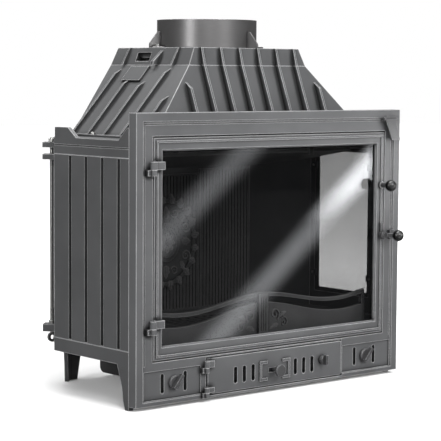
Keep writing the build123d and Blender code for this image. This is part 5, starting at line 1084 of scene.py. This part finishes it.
@dataclass(frozen=True)
class Mirror:
    """Where a form goes that is drawn once, at the upper right of the carving's middle.

    Attributes:
        side: 1 leaves it at the right and -1 mirrors it to the left.
        level: 1 leaves it above the middle and -1 mirrors it to below.
    """

    side: int = 1
    level: int = 1

    def place(self, spot: Spot) -> Spot:
        """The mirrored place."""
        return self.side * spot[0], self.level * spot[1]

    def heading(self, degrees: float) -> float:
        """The mirrored direction."""
        return self.level * degrees if self.side > 0 else 180.0 - self.level * degrees

    def turn(self, degrees: float) -> float:
        """The mirrored sense of turning."""
        return self.side * self.level * degrees


def mirrored_section(*half: Spot) -> list[Spot]:
    """A section across a leaf or tendril, with its ridge in the middle.

    Args:
        half: One half from the outside in, as shares of the half width and the height; a height of 0
            reaches down to the carving's underside.

    Returns:
        The whole section.
    """
    return [*((-across, lift) for across, lift in half), (0.0, 1.0), *reversed(half)]


LEAF_SECTION = mirrored_section((1.0, 0.0), (1.0, 0.35), (0.72, 0.75), (0.38, 0.62), (0.14, 0.8))
SCROLL_SECTION = mirrored_section((1.0, 0.0), (1.0, 0.3), (0.7, 0.8))
BEAD_DOME = ((1.0, 0.0), (1.0, 0.25), (0.86, 0.62), (0.55, 0.9), (0.12, 1.0))


@dataclass
class Carver:
    """Lays carved leaves and scrolls on an upright face that looks to the front.

    Attributes:
        middle: Middle of the carving on the foremost plane of its casting, in metres.
        face: How far the carved face lies behind that plane, in millimetres.
        foot: How far the carving's underside lies behind it.
        leaf_steps: Sections along a leaf.
        scroll_step: Degrees between the sections of a tendril.
        bead_sides: Points round a bead.
        clay: Holds the carving.
    """

    middle: Vector
    face: float
    foot: float
    leaf_steps: int = 18
    scroll_step: float = 12.0
    bead_sides: int = 14
    clay: Clay = field(default_factory=Clay)

    def _point(self, x: float, z: float, face: float, lift: float) -> Vector:
        """A point so far over the face, or on the underside where the lift is 0."""
        return self.middle + Vector((x, face - lift if lift else self.foot, z)) * MM

    def _ring(
        self, spot: Spot, way: float, half: float, face: float, rise: float, section: Sequence[Spot],
    ) -> list[Vector]:
        """Sets one section across a leaf or tendril.

        Args:
            spot: Across and up of its ridge.
            way: Direction in which it is laid, in radians.
            half: Its half width.
            face: Depth of the face under it.
            rise: Its height over that face.
            section: Its form.

        Returns:
            Its points.
        """
        x, z = spot
        wide, high = half * math.cos(way), half * math.sin(way)
        return [
            self._point(x + wide * across, z + high * across, face, rise * lift) for across, lift in section]

    def leaf(self, root: Spot, heading: float, form: Leaf, mirror: Mirror = Mirror()) -> None:
        """Lays one leaf with a ridge along its middle.

        Args:
            root: Across and up of its root.
            heading: Its direction in degrees, 0 to the right and 90 up.
            form: Its form.
            mirror: Where it goes.
        """
        rings = []
        x, z = mirror.place(root)
        for index in range(self.leaf_steps + 1):
            share = index / self.leaf_steps
            turn = math.radians(mirror.heading(heading) + mirror.turn(form.bend) * share)
            if index:
                x += math.cos(turn) * form.length / self.leaf_steps
                z += math.sin(turn) * form.length / self.leaf_steps
            swell = math.sin(math.pi * min(0.985, 0.07 + share * 0.93) ** 0.8)
            half = form.width * swell * (1.0 - 0.2 * math.cos(2 * math.pi * form.lobes * share)) + 0.15
            rise = form.rise * (0.35 + 0.65 * swell) * (1.0 - 0.35 * share)
            face = self.face + form.droop * share * share
            rings.append(self._ring((x, z), turn + math.pi / 2, half, face, rise, LEAF_SECTION))
        self.clay.loft(rings)

    def scroll(self, eye: Spot, start: float, form: Scroll, mirror: Mirror = Mirror()) -> None:
        """Lays one rolled-up tendril with a small eye in its middle.

        Args:
            eye: Across and up of the eye.
            start: Direction of the outer end from the eye, in degrees.
            form: Its form.
            mirror: Where it goes.
        """
        rings = []
        x, z = mirror.place(eye)
        count = int(abs(form.sweep) / self.scroll_step)
        for index in range(count + 1):
            share = index / count
            turn = math.radians(mirror.heading(start) + mirror.turn(form.sweep) * share)
            radius = form.outer + (form.inner - form.outer) * share ** 0.8
            spot = (x + math.cos(turn) * radius, z + math.sin(turn) * radius)
            half = form.width / 2 * (1.0 - 0.45 * share)
            rise = form.rise * (1.0 - 0.25 * share)
            rings.append(self._ring(spot, turn, half, self.face, rise, SCROLL_SECTION))
        self.clay.loft(rings)
        self.bead((x, z), form.inner * 0.8, form.rise)

    def bead(self, middle: Spot, radius: float, rise: float) -> None:
        """Lays one domed bead.

        Args:
            middle: Across and up of its middle.
            radius: Its radius.
            rise: Its height over the face.
        """
        x, z = middle
        rings = []
        for across, lift in BEAD_DOME:
            ring = []
            for side in range(self.bead_sides):
                turn, reach = 2 * math.pi * side / self.bead_sides, radius * across
                ring.append(self._point(
                    x + math.cos(turn) * reach, z + math.sin(turn) * reach, self.face, rise * lift))
            rings.append(ring)
        self.clay.loft(rings)


@dataclass(frozen=True)
class Medallion:
    """The carved leaf ornament over the stepped oval of the middle fireback, in millimetres.

    Attributes:
        rise: Height of the oval's middle over the fireback's foot.
        oval: Half width and half height of the oval.
        rim, ground, boss: How far behind the boss the carved face and the carving's underside lie.
        leaves, wreath_leaf: Number and form of the wreath's leaves.
        inset, lean: How far inside the oval they root, and how far they lean, in degrees.
        petals, petal: Number and form of the rosette's petals.
        petal_root: Half width and half height of the small oval that they root on.
        bead: Radius and rise of the bead in the middle.
        low_scroll, high_scroll: The scrolls beside the boss, and above and below it.
        slant_leaf, side_leaf, tall_leaf: The leaves between the scrolls, at the sides, and above and below.
    """

    rise: float = 160.0
    oval: Spot = (80.0, 93.0)
    rim: Spot = (2.0, 7.3)
    ground: Spot = (4.5, 5.0)
    boss: Spot = (0.0, 0.5)
    leaves: int = 20
    inset: float = 9.0
    lean: float = 18.0
    petals: int = 8
    petal_root: Spot = (4.0, 4.6)
    bead: Spot = (6.5, 4.6)
    wreath_leaf: Leaf = Leaf(23.0, 7.2, 4.2, droop=4.5, bend=36.0)
    low_scroll: Scroll = Scroll(-520.0, 2.6, 13.5, 4.2, 3.4)
    high_scroll: Scroll = Scroll(480.0, 2.2, 10.5, 3.6, 3.2)
    slant_leaf: Leaf = Leaf(24.0, 6.0, 3.6, bend=24.0)
    side_leaf: Leaf = Leaf(24.0, 8.5, 3.8)
    tall_leaf: Leaf = Leaf(29.0, 9.0, 4.0)
    petal: Leaf = Leaf(19.0, 6.2, 3.0, lobes=2)

    def build(self, wardrobe: Wardrobe) -> None:
        """Carves the wreath, the field and the rosette.

        Args:
            wardrobe: Gives the carving its finish.
        """
        low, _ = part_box("fireback_centre")
        middle = Vector((0.0, low.y, low.z + self.rise * MM))
        for name, depths, carve in (
            ("medallion_wreath", self.rim, self._wreath), ("medallion_scrolls", self.ground, self._scrolls),
            ("medallion_rosette", self.boss, self._rosette),
        ):
            carver = Carver(middle, *depths)
            carve(carver)
            wardrobe.add(carver.clay.piece(name), "lining_iron", "firebox", Finish.CARVED)

    def _wreath(self, carver: Carver) -> None:
        """Lays the ring of leaves on the rim, each leaning the same way round.

        Args:
            carver: Lays the leaves.
        """
        wide, high = self.oval
        for index in range(self.leaves):
            around = 2 * math.pi * (index + 0.5) / self.leaves
            root = ((wide - self.inset) * math.cos(around), (high - self.inset) * math.sin(around))
            outward = math.degrees(math.atan2(wide * math.sin(around), high * math.cos(around)))
            carver.leaf(root, outward - self.lean, self.wreath_leaf)

    def _scrolls(self, carver: Carver) -> None:
        """Fills the sunk field with scrolls and leaves, mirrored into its four quarters.

        Args:
            carver: Lays the leaves.
        """
        for side in (1, -1):
            for level in (1, -1):
                quarter = Mirror(side, level)
                carver.scroll((53.0, 31.0), 30.0, self.low_scroll, quarter)
                carver.scroll((22.0, 62.0), 200.0, self.high_scroll, quarter)
                carver.leaf((39.0, 44.0), 48.0, self.slant_leaf, quarter)
            carver.leaf((44.0, 0.0), 0.0, self.side_leaf, Mirror(side))
        for level in (1, -1):
            carver.leaf((0.0, 50.0), 90.0, self.tall_leaf, Mirror(1, level))

    def _rosette(self, carver: Carver) -> None:
        """Lays the petals and the bead on the boss.

        Args:
            carver: Lays the leaves.
        """
        for index in range(self.petals):
            turn = 360.0 * index / self.petals
            around = math.radians(turn)
            root = (self.petal_root[0] * math.cos(around), self.petal_root[1] * math.sin(around))
            carver.leaf(root, turn, self.petal)
        carver.bead((0.0, 0.0), *self.bead)


@dataclass(frozen=True)
class GuardScrolls:
    """The mirrored scrollwork on the log guard, on both sides of its post, in millimetres.

    Attributes:
        rise: Height of the scrollwork's middle over the guard's foot.
        face, foot: How far behind the post the guard's face and the scrolls' underside lie.
        near_scroll, far_scroll: The scrolls beside the post and further out.
        high_leaf, low_leaf: The leaves above and below them.
    """

    rise: float = 18.0
    face: float = 4.0
    foot: float = 4.5
    near_scroll: Scroll = Scroll(500.0, 2.6, 13.0, 4.6, 3.0)
    far_scroll: Scroll = Scroll(-480.0, 2.4, 11.5, 4.2, 2.8)
    high_leaf: Leaf = Leaf(24.0, 4.8, 3.0, bend=-50.0)
    low_leaf: Leaf = Leaf(24.0, 4.6, 2.8, bend=30.0)

    def build(self, wardrobe: Wardrobe) -> None:
        """Carves the scrolls.

        Args:
            wardrobe: Gives the carving its finish.
        """
        low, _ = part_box("log_guard")
        carver = Carver(Vector((0.0, low.y, low.z + self.rise * MM)), self.face, self.foot)
        for mirror in (Mirror(1), Mirror(-1)):
            carver.scroll((33.0, 20.0), -60.0, self.near_scroll, mirror)
            carver.scroll((58.0, 1.0), 130.0, self.far_scroll, mirror)
            carver.leaf((44.0, 12.0), 50.0, self.high_leaf, mirror)
            carver.leaf((42.0, -2.0), 185.0, self.low_leaf, mirror)
        wardrobe.add(carver.clay.piece("guard_scrolls"), "front_cast_iron", "firebox", Finish.GUARD_LIGHTENED)


@dataclass(frozen=True)
class RodThreads:
    """The threads of the tie rods: above the lower nuts, under the upper ears and above the upper nuts.

    Lengths are in millimetres.

    Attributes:
        pitch: Height of one turn.
        steps: Sections in one turn.
        root, crest, half_ridge: Radius at the foot of the ridge and at its top, and half its height.
        eye: Radius of the eye at the rod's foot, its widest part.
        over_nut: Foot and top of the lower thread over the foot of the lower nut.
        under_nut: Foot and top of the thread under the upper ear, below the top of the upper nut.
        gap, end: Clearance over the upper nut, and plain end of the rod.
        crease: Angle in degrees over which an edge stays sharp.
    """

    pitch: float = 1.25
    steps: int = 16
    root: float = 3.9
    crest: float = 4.4
    half_ridge: float = 0.5
    eye: float = 10.0
    over_nut: Spot = (6.6, 32.0)
    under_nut: Spot = (55.5, 42.5)
    gap: float = 0.1
    end: float = 0.4
    crease: float = 25.0

    def build(self, wardrobe: Wardrobe) -> None:
        """Winds one ridge for each threaded length.

        Args:
            wardrobe: Gives the threads their finish.
        """
        low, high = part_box("tie_rods")
        nut_foot, nut_top = (corner.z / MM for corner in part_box("tie_rod_nuts"))
        spans = (
            (nut_foot + self.over_nut[0], nut_foot + self.over_nut[1]),
            (nut_top - self.under_nut[0], nut_top - self.under_nut[1]),
            (nut_top + self.gap, high.z / MM - self.end))
        section = ((self.root, -self.half_ridge), (self.crest, 0.0), (self.root, self.half_ridge))
        clay = Clay()
        for x in (low.x + self.eye * MM, high.x - self.eye * MM):
            for bottom, top in spans:
                count = int((top - bottom) / self.pitch * self.steps)
                rings = []
                for index in range(count + 1):
                    turn = 2 * math.pi * index / self.steps
                    axis = Vector((x, (low.y + high.y) / 2, (bottom + (top - bottom) * index / count) * MM))
                    rings.append([
                        axis + Vector((math.cos(turn) * reach, math.sin(turn) * reach, rise)) * MM
                        for reach, rise in section])
                clay.loft(rings)
        wardrobe.add(clay.piece("rod_threads", self.crease), "bare_steel", "firebox")


DETAILS = (
    DoorSeal(
        "door_seal_rope", "door_seal", "front_door",
        across=0, half=0.0025, corner=0.012, step=0.0011, crease=80.0),
    WindowTape(
        "window_seal_tape", "window_seal", "firebox",
        across=1, half=0.004125, corner=0.006, step=0.0015, crease=50.0),
    Medallion(),
    GuardScrolls(),
    RodThreads(),
)


def main() -> None:
    """Builds the studio, dresses the insert and adds its fine pieces."""
    logging.basicConfig(level=logging.INFO, format="%(message)s")
    for item in STUDIO:
        item.build()
    wardrobe = Wardrobe()
    wardrobe.dress()
    for detail in DETAILS:
        detail.build(wardrobe)


if __name__ == "__main__":
    main()
